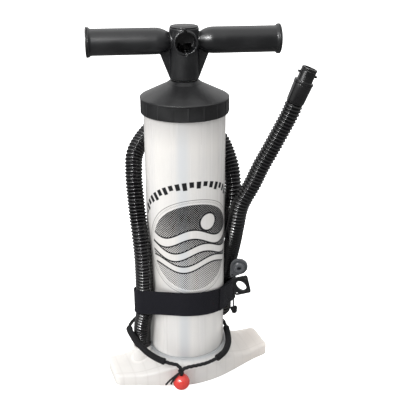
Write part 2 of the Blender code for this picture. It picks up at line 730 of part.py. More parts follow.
def make_hose_end(surface, rubber):
    """Cuff, bayonet nozzle with two side pins, and the ring seal near its tip."""
    frame = hose_end_frame()
    tail_r, tail_start = 9.2 * MM, 12.0 * MM
    cuff = turned([
        (SPIGOT_BORE, -12 * MM), (SPIGOT_R, -12 * MM), (SPIGOT_R, 0), (11.8 * MM, 0),
        (12.3 * MM, 8 * MM), (13.2 * MM, CUFF_LENGTH), (tail_r + GAP, CUFF_LENGTH),
        (tail_r + GAP, tail_start), (SPIGOT_BORE, tail_start),
    ], 24)
    base, collar_top = CUFF_LENGTH + GAP, CUFF_LENGTH + 4.5 * MM
    groove_low, groove_high, groove_r = 46.5 * MM, 49.0 * MM, 10.0 * MM
    tube_bore = NOZZLE_BORE - 2 * MM
    nozzle = turned([
        (tube_bore, tail_start + MM), (tail_r, tail_start + MM), (tail_r, base), (13.8 * MM, base),
        (13.8 * MM, collar_top), (NOZZLE_R, collar_top), (NOZZLE_R, groove_low),
        (groove_r, groove_low), (groove_r, groove_high), (NOZZLE_R, groove_high),
        (NOZZLE_R, NOZZLE_LENGTH), (NOZZLE_BORE, NOZZLE_LENGTH), (NOZZLE_BORE, collar_top),
        (tube_bore, collar_top),
    ], 24)
    pin_height = 43.0 * MM
    for side in (-1, 1):
        pin = cylinder(1.7 * MM, NOZZLE_R - 1.5 * MM, NOZZLE_R + 3.0 * MM, 10)
        lean = Matrix.Translation((0, 0, pin_height)) @ Matrix.Rotation(side * math.pi / 2, 4, "Y")
        nozzle = union(nozzle, placed(pin, lean))
    seal = ring_seal(groove_r, groove_low, groove_high)
    return (
        add_object("hose_end_cuff", placed(cuff, frame), surface),
        add_object("hose_nozzle", placed(nozzle, frame), surface),
        add_object("nozzle_seal", placed(seal, frame), rubber),
    )


# ---------------------------------------------------------------- strap


def strap_height(x, y):
    """Height of the strap's middle: a band tilted up towards the front."""
    return STRAP_MID - STRAP_TILT * (x * math.cos(STRAP_TILT_AZIMUTH) + y * math.sin(STRAP_TILT_AZIMUTH))


def strap_outline(count):
    """The taut loop round the barrel and every stretch of hose that passes inside the strap."""
    pad = 1.0 * MM
    points = circle_points(BARREL_R + pad, 64)
    path = hose_path(HOSE_STEP)
    for near, far in zip(path, path[1:]):
        for share in range(6):
            place = near.lerp(far, share / 6)
            if abs(place.z - strap_height(place.x, place.y)) < STRAP_WIDTH / 2 + 6 * MM:
                points += circle_points(HOSE_R + pad, 24, (place.x, place.y))
    corners = [Vector(point) for point in convex_hull(points)]
    lengths = [(b - a).length for a, b in zip(corners, corners[1:] + corners[:1])]
    total, spaced, index, before = sum(lengths), [], 0, 0.0
    for step in range(count):
        target = total * step / count
        while before + lengths[index] < target:
            before += lengths[index]
            index += 1
        share = (target - before) / lengths[index]
        spaced.append(corners[index].lerp(corners[(index + 1) % len(corners)], share))
    return spaced


def make_strap(surface):
    outline = strap_outline(72)
    rings = []
    for index, point in enumerate(outline):
        along = outline[(index + 1) % len(outline)] - outline[index - 1]
        outward = Vector((along.y, -along.x)).normalized()
        middle = strap_height(point.x, point.y)
        outer = point + outward * STRAP_THICK
        low, high = middle - STRAP_WIDTH / 2, middle + STRAP_WIDTH / 2
        rings.append([(*point, low), (*outer, low), (*outer, high), (*point, high)])
    return add_object("strap", skinned(rings, closed=True), surface)


# ---------------------------------------------------------------- leash and ball


def leash_path(step):
    """The loop of cord from the knot's left, round the back of the barrel, to the knot's right."""
    stations = [
        (77.8, 240.5, 42.5), (79.5, 234.5, 44.8), (81.5, 226, 47.5), (84.5, 212, 53), (88.5, 196, 63),
        (91, 184, 71), (90.3, 174, 73.5), (84, 164, 74.5), (75, 151, 75), (66, 134, 75),
        (61.5, 115, 73), (61, 90, 66), (61, 60, 57), (61.5, 35, 53), (61.8, 14, 55),
        (62.4, -1, 58.5), (63.4, -14, 54), (66, -27, 49), (70, -42, 46.5), (73.5, -56, 44.5),
        (75.5, -70, 42.8), (77.4, -85, 42), (79, -98, 42), (80.3, -109, 42),
    ]
    return smooth_path([polar(*station) for station in stations], step)


def stretch(path, start_share, end_share):
    """The part of a path between two shares of its length."""
    last = len(path) - 1
    return path[round(last * start_share): round(last * end_share) + 1]


def make_leash(cord_surface, sleeve_surface):
    path = leash_path(9 * MM)
    pieces = [add_object("leash_cord", swept(path, CORD_R, 6), cord_surface, sharp_degrees=70)]
    for name, start, end in (("leash_sleeve_left", 0.06, 0.24), ("leash_sleeve_right", 0.715, 0.875)):
        sleeve = swept(stretch(path, start, end), SLEEVE_R, 8, SLEEVE_BORE)
        pieces.append(add_object(name, sleeve, sleeve_surface, sharp_degrees=60))
    return pieces


def make_ball(cord_surface, ball_surface):
    """The ball with a blind hole for its cord, and the knot that ties it to the leash."""
    shift = Matrix.Translation(polar(81.9, -114.5, 0))
    arcs = [math.pi * step / 10 for step in range(1, 10)]
    shell = [(BALL_R * math.sin(arc), BALL_Z - BALL_R * math.cos(arc)) for arc in arcs]
    blind, lip = BALL_Z - BALL_R / 2, BALL_Z + BALL_R - 0.4 * MM
    outline = [(0, BALL_Z - BALL_R), *shell, (BALL_BORE, lip), (BALL_BORE, blind), (0, blind)]
    ball = add_object("stopper_ball", placed(turned(outline, 20), shift), ball_surface)
    waist = BALL_Z + BALL_R + 0.4 * MM
    knot = turned([
        (0, blind + MM), (KNOT_STEM_R, blind + MM), (KNOT_STEM_R, waist), (3.6 * MM, waist + MM),
        (4.6 * MM, waist + 4 * MM), (3.6 * MM, waist + 7.5 * MM), (0, waist + 9 * MM),
    ], 12)
    return ball, add_object("leash_knot", placed(knot, shift), cord_surface)


# ---------------------------------------------------------------- adaptors


def adaptor_frame(radius, azimuth, height, roll_degrees):
    """An adaptor's place: flat to the front, with +Z out of its face and +Y up."""
    face = Matrix.Rotation(ADAPTOR_AZIMUTH, 4, "Z") @ Matrix.Rotation(math.pi / 2, 4, "X")
    roll = Matrix.Rotation(math.radians(roll_degrees), 4, "Z")
    return Matrix.Translation(polar(radius, azimuth, height)) @ face @ roll


def make_round_adaptor(surface):
    """Flanged ring with a stepped valve spigot towards the front and a lug for the tether."""
    lug = (-9.8 * MM, -14.4 * MM)
    outline = convex_hull(circle_points(FLANGE_R, 32) + circle_points(3.5 * MM, 16, lug))
    body = union(prism(outline, -1.6 * MM, 1.6 * MM), cylinder(SPIGOT_OUTER_R, -4 * MM, 7.5 * MM, 24))
    body = difference(
        body,
        cylinder(3.2 * MM, 0.5 * MM, 12 * MM, 20),
        cylinder(5.5 * MM, -12 * MM, -0.5 * MM, 20),
        cylinder(1.8 * MM, -8 * MM, 8 * MM, 12, lug),
    )
    return add_object("adaptor_round", placed(body, adaptor_frame(81, -27.8, 173, 0)), surface)


def make_square_adaptor(surface):
    """Rounded plate with a large slanted oval hole and an eye at one corner for the tether."""
    wide, tall = PLATE_HALF
    corners = []
    for x, y in ((-wide, -tall), (wide, -tall), (wide, tall), (-wide, tall)):
        corners += circle_points(PLATE_CORNER, 12, (x, y))
    plate = prism(convex_hull(corners), -2.4 * MM, 2.4 * MM)
    hole = cylinder(MM, -9 * MM, 9 * MM, 28)
    bmesh.ops.scale(hole, verts=hole.verts, vec=(*PLATE_HOLE, 1.0))
    placed(hole, Matrix.Rotation(PLATE_HOLE_TILT, 4, "Z"))
    eye = cylinder(1.5 * MM, -9 * MM, 9 * MM, 12, (-wide, -tall))
    body = placed(difference(plate, hole, eye), adaptor_frame(85.6, -31, 143.5, 13))
    return add_object("adaptor_square", body, surface)


def make_tether(surface):
    """The cord that ties the adaptors together, and the toggle at its end."""
    stations = [
        (73.4, -21.5, 101.2), (73.2, -21, 112), (73.4, -21.5, 124), (73.8, -22.5, 137),
        (74.2, -24, 150), (74.4, -25, 160),
    ]
    cord = swept(smooth_path([polar(*station) for station in stations], 5 * MM), TETHER_R, 6)
    toggle = turned([
        (0, -6 * MM), (3.2 * MM, -4.6 * MM), (4.6 * MM, 0), (3.2 * MM, 4.6 * MM), (0, 6 * MM),
    ], 12)
    place = Matrix.Translation(polar(74.4, -22, 94)) @ Matrix.Rotation(math.radians(30), 4, "Y")
    return (
        add_object("adaptor_tether", cord, surface, sharp_degrees=70),
        add_object("tether_toggle", placed(toggle, place), surface),
    )


# ---------------------------------------------------------------- assembly


def build():
    clear_scene()
    milky = material("milky plastic", (0.80, 0.77, 0.72), 0.38)
    clear = material("translucent barrel", (0.82, 0.81, 0.79), 0.22)
    gasket_blue = material("gasket rubber", (0.45, 0.52, 0.60), 0.55)
    black = material("black plastic", (0.022, 0.023, 0.025), 0.42)
    glossy = material("glossy black plastic", (0.012, 0.012, 0.013), 0.22)
    dark_rubber = material("black rubber", (0.018, 0.018, 0.018), 0.7)
    acetal = material("white acetal", (0.72, 0.72, 0.70), 0.4)
    alloy = material("rod aluminium", (0.78, 0.79, 0.80), 0.3, 1.0)
    steel = material("steel", (0.6, 0.6, 0.61), 0.3, 1.0)
    webbing = material("strap webbing", (0.012, 0.012, 0.016), 0.85)
    cord = material("cord", (0.014, 0.014, 0.015), 0.8)
    red = material("red ball", (0.62, 0.035, 0.03), 0.35)
    grey = material("grey plastic", (0.16, 0.17, 0.18), 0.4)

    make_footplate(milky)
    make_duct_cover(milky)
    outlet_disc, _spring = make_outlet_valve(dark_rubber, steel)
    make_barrel(clear, gasket_blue)
    make_cap(black, acetal)
    make_hose(glossy)
    make_base_plug(glossy, dark_rubber)
    make_hose_end(glossy, dark_rubber)
    make_strap(webbing)
    make_leash(cord, cord)
    make_ball(cord, red)
    make_round_adaptor(grey)
    make_square_adaptor(black)
    make_tether(cord)

    outlet_joint = joint_empty("outlet_valve_joint", (0, 0, HUB_FLOOR_BOTTOM))
    piston_joint = joint_empty("piston_slide_joint", (0, 0, PISTON_BOTTOM))
    intake_joint = joint_empty("intake_valve_joint", (0, 0, PISTON_BOTTOM), piston_joint)
    handle_joint = joint_empty("handle_turn_joint", (0, 0, HANDLE_Z), piston_joint)
    carry(outlet_joint, outlet_disc)
    carry(piston_joint, make_piston(acetal), *make_piston_fittings(dark_rubber, acetal))
    carry(intake_joint, make_intake_valve(dark_rubber))
    fittings = make_handle_fittings(black, black, steel)
    carry(handle_joint, make_rod(alloy), make_handle(black), *fittings)


build()
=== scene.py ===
"""Looks of the manual inflation hand pump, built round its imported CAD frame.

Bodies are built in millimetres in the frame's own axes: +Z up the barrel, +X along the right wing of the
foot board. They are scaled to metres when they become pieces. Stage lengths are in metres.
"""

import math

import bmesh
import bpy
import numpy as np
from mathutils import Matrix, Vector


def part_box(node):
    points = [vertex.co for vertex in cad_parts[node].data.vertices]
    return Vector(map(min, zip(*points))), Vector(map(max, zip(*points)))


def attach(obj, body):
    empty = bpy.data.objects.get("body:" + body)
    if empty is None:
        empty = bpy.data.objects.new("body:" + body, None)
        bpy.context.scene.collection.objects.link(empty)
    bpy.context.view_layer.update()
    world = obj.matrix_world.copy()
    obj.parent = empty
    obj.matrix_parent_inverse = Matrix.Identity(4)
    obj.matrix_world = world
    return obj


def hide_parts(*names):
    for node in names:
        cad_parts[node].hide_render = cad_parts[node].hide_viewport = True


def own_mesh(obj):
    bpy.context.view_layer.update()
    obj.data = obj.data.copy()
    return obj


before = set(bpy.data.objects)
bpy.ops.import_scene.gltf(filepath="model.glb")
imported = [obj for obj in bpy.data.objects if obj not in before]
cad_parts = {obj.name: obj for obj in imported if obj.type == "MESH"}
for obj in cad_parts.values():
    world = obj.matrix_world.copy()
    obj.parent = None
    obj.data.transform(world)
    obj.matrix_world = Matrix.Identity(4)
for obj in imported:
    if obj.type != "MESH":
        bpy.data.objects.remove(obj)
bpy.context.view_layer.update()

MM = 0.001
TINY = 1e-6
QUARTER = math.pi / 2


def spans(node):
    """Lowest and highest corner of a CAD node, in millimetres."""
    return [Vector(corner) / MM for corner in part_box(node)]


# ---- sizes, taken from the frame where it has them

BARREL_LOW, BARREL_HIGH = spans("barrel")
CAP_LOW, CAP_HIGH = spans("barrel_cap")
HANDLE_BOTTOM = spans("handle_body")[0].z
CROWN_LOW, CROWN_HIGH = spans("handle_crown")
BOARD_LOW, BOARD_HIGH = spans("footplate")
ROD_LOW, ROD_HIGH = spans("piston_rod")
BALL_LOW, BALL_HIGH = spans("stopper_ball")
SPRING_LOW, SPRING_HIGH = spans("outlet_valve_spring")

GAP = 0.3
BARREL_R = BARREL_HIGH.x
BARREL_BORE = BARREL_R - 2.5
CAP_R = CAP_HIGH.x
CAP_SHOULDER = CAP_LOW.z + 21
CAP_NECK_R = 19.2
CAP_PANELS = 18
CAP_PANEL_PHASE = math.radians(-84)
CAP_RIB = 0.7
CAP_RIB_HALF = math.radians(0.65)
ROD_R = ROD_HIGH.x
ROD_BORE = ROD_R - 3

HANDLE_YAW = math.radians(-12.85)
HANDLE_Z = 508.3
HANDLE_HALF = 131.5
GRIP_R = 17.8
GRIP_BORE = 14.6
GRIP_FLANGE_R = 20.2
GRIP_NECK_R = 10.8
SHOULDER = ((10.8, 19), (13.3, 23.6), (15.3, 27.6), (16.8, 32), (17.6, 36), (17.8, 40))
COLUMN_R = 20.0
WEB_HALF = 2.8
HANDLE_PORT_R = 13.9
HANDLE_PORT_RIM = 16.2
HANDLE_PORT_FRONT = 23
HANDLE_VOXEL = 0.62
SCREW_HOLE_R = 2.6
SCREW_UP = 13

WING_LEFT = -BOARD_LOW.x
WING_RIGHT = BOARD_HIGH.x
WING_HALF_WIDTH = 28.5
WING_TIP_RADIUS = 9
WING_HEIGHT = 16.6
FRONT_BULGE = 66.5
FRONT_REACH = 145
HUB_R = 60.5
HUB_TOP = 42.4
HUB_FLOOR_TOP = 34
HUB_FLOOR_BOTTOM = 30
RAMP_REACH = 105
RAMP_TOP = 41.9
BOARD_WALL = 3
BOARD_EDGE = 3.0
BACK_BLEND = 4
RIB_THICK = 2.6
RIB_SPACING = 17
RIB_FIRST = 44
PORT_X = -72
PORT_BORE = 11.3
PORT_BOSS_R = 15.5
PORT_TOP = 45
DUCT_WALL = 3.5
DUCT_END_R = 12.0
DUCT_FLOOR = 15
DUCT_CEILING = 26.5
VALVE_CHAMBER_R = 20
VALVE_HOLE_R = 13

HOSE_R = 13.0
HOSE_PITCH = 4.95
HOSE_RIDGE = 2.1
HOSE_CLEAR = 70.6
HOSE_CAD_STEP = 22
SPIGOT_R = 8.3
SPIGOT_BORE = 6.3
NOZZLE_R = 11
NOZZLE_BORE = 8.4
CUFF_LENGTH = 28.5
NOZZLE_LENGTH = 51.8
HOSE_END_PLACE = (151.4, -25.7, 426)
HOSE_END_LEAN = math.radians(21.1)
GROOVE_BELOW = 0.2
PIN_R = 1.7
PIN_ALONG = 43

STRAP_WIDTH = 38.5
STRAP_THICK = 2
WEBBING = STRAP_THICK - 0.2
STRAP_MID = 121
STRAP_TILT = 0.24
STRAP_TILT_AZIMUTH = math.radians(70)
TAIL_START, TAIL_END = 0.30, 0.52
STITCH_R = 0.35

CORD_R = 2.8
CORD_STEP = 0.7
SLEEVE_R = 5.1
SLEEVE_BORE = 3.0
BALL_R = (BALL_HIGH.z - BALL_LOW.z) / 2
BALL_BORE = 2.9
BALL_LIP = 0.8
ADAPTOR_AZIMUTH = math.radians(-20)
ROUND_ADAPTOR_PLACE = (81, -27.8, 173)
SQUARE_ADAPTOR_PLACE = (85.6, -31, 143.5)

STRIPE_AZIMUTH = math.radians(-112)
PRINT_HEIGHT = 225
PRINT_AZIMUTH = math.radians(-95)
PRINT_DISC_R = 67
PRINT_RING_R = 74
PRINT_DASH_LOW = 89
PRINT_DASH_HIGH = 101
PRINT_DASHES = 60
PRINT_SOFT = 0.35
PRINT_WAVES = ((14, 7.5, 12), (-8, 7.0, 10), (-28, 6.0, 8))
PRINT_WAVELENGTH = 88
GOLDEN_SHARE = 0.381966

CAMERA_PLACE = Vector((-0.3126, -0.9214, 0.6736))
CAMERA_PITCH = math.radians(22.2)
CAMERA_HEADING = math.radians(20)
CAMERA_LENS = 64.5
CAMERA_SENSOR = 36

FLOOR_REACH = 12.0
FLOOR_Z = -0.0004
VIEW_RIGHT = (0.94, -0.342, 0.0)
VIEW_AHEAD = (0.342, 0.94, 0.0)
WORLD_BASE = 0.15
WORLD_SIDES = (
    (VIEW_AHEAD, 0.05, 0.8, 0.75),
    (VIEW_RIGHT, 0.5, 0.95, 0.45),
    (VIEW_RIGHT, -0.4, -0.95, 0.65),
    ((0.0, 0.0, 1.0), 0.35, 0.9, 1.25),
)


# ---- shader tools

LOOKS = {
    "colour": "Base Color", "rough": "Roughness", "shine": "Specular IOR Level", "metal": "Metallic",
    "coat": "Coat Weight", "coat_rough": "Coat Roughness", "sheen": "Sheen Weight",
    "sheen_rough": "Sheen Roughness", "glow": "Emission Color", "glow_strength": "Emission Strength",
    "normal": "Normal",
}


class Nodes:
    """Short ways to add shader nodes to a material or a world."""

    def __init__(self, owner):
        owner.use_nodes = True
        self.owner = owner
        self.tree = owner.node_tree

    def add(self, kind, inputs=None, **settings):
        node = self.tree.nodes.new("ShaderNode" + kind)
        for key, value in settings.items():
            setattr(node, key, value)
        for key, value in (inputs or {}).items():
            self.set(node.inputs[key], value)
        return node

    def set(self, socket, value):
        if isinstance(value, bpy.types.NodeSocket):
            self.tree.links.new(value, socket)
        else:
            socket.default_value = (*value, 1.0) if socket.type == "RGBA" else value

    def look(self, **inputs):
        """Sets the material's main shader by the short names in LOOKS and gives back the material."""
        shader = self.tree.nodes["Principled BSDF"]
        for key, value in inputs.items():
            self.set(shader.inputs[LOOKS[key]], value)
        return self.owner

    def math(self, operation, *values):
        return self.add("Math", dict(enumerate(values)), operation=operation).outputs[0]

    def chain(self, operation, first, *others):
        for other in others:
            first = self.math(operation, first, other)
        return first

    def times(self, *values):
        return self.chain("MULTIPLY", *values)

    def plus(self, *values):
        return self.chain("ADD", *values)

    def minus(self, *values):
        return self.chain("SUBTRACT", *values)

    def most(self, *values):
        return self.chain("MAXIMUM", *values)

    def line(self, value, gain, start):
        return self.math("MULTIPLY_ADD", value, gain, start)

    def length(self, a, b):
        return self.math("SQRT", self.plus(self.times(a, a), self.times(b, b)))

    def smooth(self, value, low, high, start=0.0, end=1.0):
        values = dict(enumerate((value, low, high, start, end)))
        return self.add("MapRange", values, interpolation_type="SMOOTHSTEP").outputs[0]

    def mix(self, share, first, second):
        node = self.add("Mix", {"Factor": share}, data_type="RGBA")
        self.set(node.inputs["A"], first)
        self.set(node.inputs["B"], second)
        return node.outputs["Result"]

    def place(self):
        """Position in the frame's axes, in metres. It doesn't move when a body does."""
        return self.add("TexCoord").outputs["Object"]

    def axes(self):
        """The same position as x, y and z in millimetres."""
        scaled = self.add("VectorMath", {0: self.place(), "Scale": 1 / MM}, operation="SCALE")
        return self.add("SeparateXYZ", {0: scaled.outputs[0]}).outputs

    def noise(self, scale, detail=4.0, vector=None):
        inputs = {"Scale": scale, "Detail": detail, "Roughness": 0.55, "Vector": vector or self.place()}
        return self.add("TexNoise", inputs).outputs["Fac"]

    def streaks(self, stretch, detail):
        mapping = self.add("Mapping", {"Vector": self.place(), "Scale": stretch})
        return self.noise(1.0, detail, mapping.outputs["Vector"])

    def pointiness(self):
        return self.add("NewGeometry").outputs["Pointiness"]

    def bump(self, height, strength, distance):
        inputs = {"Height": height, "Strength": strength, "Distance": distance * MM}
        return self.add("Bump", inputs).outputs["Normal"]


def nodes_of(name):
    return Nodes(bpy.data.materials.new(name))


def moulded(name, colour, worn, roughness, grain=2600.0, grain_depth=0.12, coat=0.0):
    """Moulded plastic: fine surface grain, uneven gloss, faint dust and edges a little lighter than faces."""
    n = nodes_of(name)
    patches = n.noise(38.0, 5.0)
    edge_share = n.smooth(n.pointiness(), 0.505, 0.56, 0.0, 0.55)
    patch_share = n.times(n.smooth(patches, 0.35, 0.75), 0.22)
    return n.look(
        colour=n.mix(n.most(edge_share, patch_share), colour, worn),
        rough=n.smooth(patches, 0.25, 0.8, roughness - 0.04, roughness + 0.08),
        shine=0.5,
        coat=coat,
        coat_rough=0.18,
        normal=n.bump(n.noise(grain, 2.0), grain_depth, 0.2),
    )


def ribbed_gloss(name, colour, scuffed, roughness):
    """Glossy hose plastic, duller in its grooves, with scuffs on the ridges."""
    n = nodes_of(name)
    scuff = n.noise(320.0, 5.0)
    crest = n.smooth(n.pointiness(), 0.44, 0.53)
    return n.look(
        colour=n.mix(n.times(crest, n.smooth(scuff, 0.55, 0.85, 0.0, 0.5)), colour, scuffed),
        rough=n.smooth(scuff, 0.35, 0.8, roughness, roughness + 0.07),
        shine=n.line(crest, 0.35, 0.15),
        normal=n.bump(n.noise(900.0, 2.0), 0.04, 0.2),
    )


def rubber(name, colour):
    n = nodes_of(name)
    cloudy = n.noise(120.0, 5.0)
    return n.look(
        colour=n.mix(n.smooth(cloudy, 0.3, 0.8), colour, [channel * 1.7 for channel in colour]),
        rough=n.smooth(cloudy, 0.2, 0.8, 0.55, 0.75),
        normal=n.bump(n.noise(2200.0, 2.0), 0.15, 0.2),
    )


def brushed_metal(name, colour, roughness, bore=0.0):
    """Drawn metal with fine lines round Z. Nearer the axis than the bore it is painted dull and dark, as
    shade inside the tube.
    """
    n = nodes_of(name)
    lines = n.streaks((60.0, 60.0, 5200.0), 3.0)
    x, y, _ = n.axes()
    bright = n.mix(lines, [channel * 0.85 for channel in colour], colour)
    return n.look(
        metal=1.0,
        # painted shade: inside the bore the colour turns near black
        colour=n.mix(n.smooth(n.length(x, y), bore, bore + 0.4), (0.02, 0.02, 0.02), bright),
        rough=n.smooth(lines, 0.3, 0.7, roughness - 0.06, roughness + 0.1),
        normal=n.bump(lines, 0.06, 0.1),
    )


def woven(name, colour, light, count, depth, twill=1.0):
    """Woven or braided textile. UV holds millimetres round and along the piece; count is threads per mm."""
    n = nodes_of(name)
    uv = n.add("SeparateXYZ", {0: n.add("TexCoord").outputs["UV"]}).outputs
    u, v = (n.times(uv[axis], count * math.tau) for axis in (0, 1))
    slant = n.math("SINE", n.plus(u, n.times(v, twill)))
    counter = n.math("SINE", n.minus(u, v))
    threads = n.line(n.most(slant, counter), 0.5, 0.5)
    fuzz = n.noise(1400.0, 4.0)
    height = n.line(fuzz, 0.35, threads)
    return n.look(
        colour=n.mix(n.times(n.smooth(height, 0.45, 1.3), 0.8), colour, light),
        rough=n.smooth(fuzz, 0.3, 0.7, 0.78, 0.95),
        shine=0.15,
        sheen=0.03,
        sheen_rough=0.4,
        normal=n.bump(height, 0.6, depth),
    )


def milky_plastic(name):
    """Frosted translucent moulding: ribs show through; round the hub a bluish-grey painted shade, partly the
    thicker socket wall; towards the right it is darker and warmer, painted shade where the barrel shadows the
    wing.
    """
    n = nodes_of(name)
    x, y, _ = n.axes()
    cloudy = n.noise(14.0, 3.0)
    # painted shade: the board turns darker and warmer towards the right wing
    base = n.mix(n.smooth(x, 20, 120), (0.96, 0.945, 0.925), (0.93, 0.895, 0.86))
    base = n.mix(n.times(n.smooth(cloudy, 0.4, 0.75), 0.18), base, (0.90, 0.87, 0.835))
    wave = n.math("COSINE", n.times(x, math.pi / (2 * FRONT_REACH)))
    swell = n.times(wave, wave, FRONT_BULGE - WING_HALF_WIDTH)
    from_front = n.plus(y, n.plus(swell, WING_HALF_WIDTH))
    seam = n.smooth(n.math("ABSOLUTE", n.minus(from_front, 9)), 0.3, 1.5, 0.35, 0.0)
    across = n.math("FRACT", n.math("DIVIDE", n.minus(n.math("ABSOLUTE", x), RIB_FIRST), RIB_SPACING))
    rib = n.math("ABSOLUTE", n.minus(across, 0.5))
    seam = n.most(seam, n.smooth(rib, 0.38, 0.49, 0.0, 0.16))
    base = n.mix(seam, base, (0.72, 0.69, 0.655))
    # painted shade round the hub, partly the thicker socket wall: the board turns bluish grey there
    hub = n.smooth(n.length(x, y), HUB_R - 0.5, HUB_R + 5, 0.6, 0.0)
    base = n.mix(hub, base, (0.44, 0.48, 0.52))
    thin = n.smooth(n.length(n.plus(x, -PORT_X), y), PORT_BOSS_R, PORT_BOSS_R + 6)
    n.look(
        colour=base,
        rough=n.smooth(cloudy, 0.3, 0.7, 0.34, 0.48),
        normal=n.bump(n.noise(1500.0, 2.0), 0.1, 0.2),
    )
    shader = n.tree.nodes["Principled BSDF"]
    glow = n.add("BsdfTranslucent", {"Color": base})
    clear = n.add("BsdfTransparent", {"Color": (0.97, 0.955, 0.94)})
    body = n.add("MixShader", {0: 0.35, 1: shader.outputs[0], 2: glow.outputs[0]})
    see_through = n.times(n.smooth(cloudy, 0.3, 0.7, 0.14, 0.22), thin)
    seen = n.add("MixShader", {0: see_through, 1: body.outputs[0], 2: clear.outputs[0]})
    n.set(n.tree.nodes["Material Output"].inputs["Surface"], seen.outputs[0])
    return n.owner


# ---- the barrel's print


def below(n, value, limit, soft=PRINT_SOFT):
    return n.smooth(value, limit - soft, limit + soft, 1.0, 0.0)


def ring_band(n, radius, low, high, soft=PRINT_SOFT):
    """1 between two radii, fading over a short distance at both."""
    return n.times(n.smooth(radius, low - soft, low + soft), below(n, radius, high, soft))


def halftone(n, u, v, pitch, fullness):
    """Round dots on a slanted square grid; fullness is the dots' radius as a share of the pitch."""
    diagonal = math.sqrt(0.5) / pitch
    cells = [n.minus(n.math("FRACT", n.times(side, diagonal)), 0.5) for side in (n.plus(u, v), n.minus(u, v))]
    return n.smooth(n.minus(fullness, n.length(*cells)), -0.06, 0.06)


def print_ink(n):
    """Share of dark ink on the barrel: a halftone disc with wave bands, a thin ring and an arc of dashes."""
    x, y, z = n.axes()
    u = n.times(n.minus(n.math("ARCTAN2", y, x), PRINT_AZIMUTH), BARREL_R)
    v = n.minus(z, PRINT_HEIGHT)
    radius = n.length(u, v)
    sky = n.smooth(n.plus(v, n.times(u, 0.45)), -70, 60, 0.36, 0.56)
    white, outline = 0.0, 0.0
    for height, swing, thick in PRINT_WAVES:
        wave = n.math("SINE", n.line(u, math.tau / PRINT_WAVELENGTH, 0.05 * height + 1.1))
        above = n.minus(v, n.line(wave, swing, height))
        rim = thick / 2 + 2.4
        white = n.most(white, ring_band(n, above, -thick / 2, thick / 2))
        outline = n.most(outline, ring_band(n, above, -rim, rim))
    sun = n.length(n.minus(u, 20), n.minus(v, 38))
    white = n.most(white, ring_band(n, sun, -20, 12))
    outline = n.most(outline, ring_band(n, sun, -20, 14.5))
    picture = n.most(halftone(n, u, v, 2.3, sky), outline)
    ink = n.times(picture, n.minus(1.0, white), below(n, radius, PRINT_DISC_R))
    thin = n.times(ring_band(n, radius, PRINT_RING_R - 0.45, PRINT_RING_R + 0.45, 0.25), 0.75)
    fringe_band = ring_band(n, radius, PRINT_DISC_R + 2.5, PRINT_RING_R - 2)
    fringe = n.times(halftone(n, u, v, 1.7, 0.30), fringe_band, 0.6)
    turn = n.math("ARCTAN2", v, u)
    beat = n.times(turn, PRINT_DASHES / math.tau)
    accent = n.math("FRACT", n.times(n.math("FLOOR", beat), GOLDEN_SHARE))
    past_start = n.minus(radius, n.line(accent, 5, PRINT_DASH_LOW))
    arc = n.times(
        n.smooth(past_start, -PRINT_SOFT, PRINT_SOFT),
        ring_band(n, n.math("FRACT", beat), 0.16, 0.80, 0.05),
        below(n, radius, PRINT_DASH_HIGH),
        n.smooth(turn, math.radians(24), math.radians(27)),
        n.smooth(turn, math.radians(157), math.radians(160), 1.0, 0.0),
    )
    return n.most(ink, thin, fringe, arc)


def barrel_plastic(name):
    """Satin translucent tube with drawn streaks up its length, a dark print at the front and a painted shadow
    just under the cap.
    """
    n = nodes_of(name)
    x, y, z = n.axes()
    streaks = n.streaks((70.0, 70.0, 1.6), 4.0)
    base = n.mix(n.smooth(streaks, 0.3, 0.75), (0.66, 0.645, 0.62), (0.60, 0.59, 0.58))
    base = n.mix(n.times(n.smooth(n.noise(9.0, 3.0), 0.4, 0.7), 0.35), base, (0.70, 0.665, 0.62))
    base = n.mix(n.smooth(z, 44, 120, 0.45, 0.0), base, (0.87, 0.86, 0.84))
    off_stripe = n.math("ABSOLUTE", n.minus(n.math("ARCTAN2", y, x), STRIPE_AZIMUTH))
    base = n.mix(n.smooth(off_stripe, 0.04, 0.22, 0.6, 0.0), base, (0.50, 0.53, 0.56))
    # painted shadow of the cap's ring: the tube turns darker just below the cap
    cap_shadow = n.smooth(z, BARREL_HIGH.z - 60, BARREL_HIGH.z - 15, 0.0, 0.75)
    base = n.mix(cap_shadow, base, (0.47, 0.46, 0.45))
    ink = print_ink(n)
    speck = n.smooth(n.noise(1800.0, 2.0), 0.28, 0.38, 0.85, 1.0)
    return n.look(
        colour=n.mix(n.times(ink, speck), base, (0.009, 0.0095, 0.011)),
        rough=n.line(ink, 0.12, n.smooth(streaks, 0.3, 0.8, 0.20, 0.34)),
        shine=n.line(ink, -0.3, 0.5),
        coat=n.line(ink, -0.3, 0.35),
        coat_rough=0.12,
        normal=n.bump(n.noise(700.0, 2.0), 0.03, 0.2),
    )


# ---- mesh tools


def link(name, data):
    thing = bpy.data.objects.new(name, data)
    bpy.context.scene.collection.objects.link(thing)
    return thing


def mesh_of(name, bm):
    mesh = bpy.data.meshes.new(name)
    bm.to_mesh(mesh)
    bm.free()
    return mesh


def piece(name, bm, surface, *replaced, body="pump_body", sharp=35):
    """Puts a finished body in the scene as a piece that rides on a CAD body and stands for CAD nodes."""
    bmesh.ops.recalc_face_normals(bm, faces=bm.faces)
    bmesh.ops.scale(bm, verts=bm.verts, vec=(MM, MM, MM))
    mesh = mesh_of(name, bm)
    mesh.shade_smooth()
    mesh.set_sharp_from_angle(angle=math.radians(sharp))
    mesh.materials.append(surface)
    thing = link(name, mesh)
    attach(thing, body)
    if replaced:
        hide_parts(*replaced)
    return thing


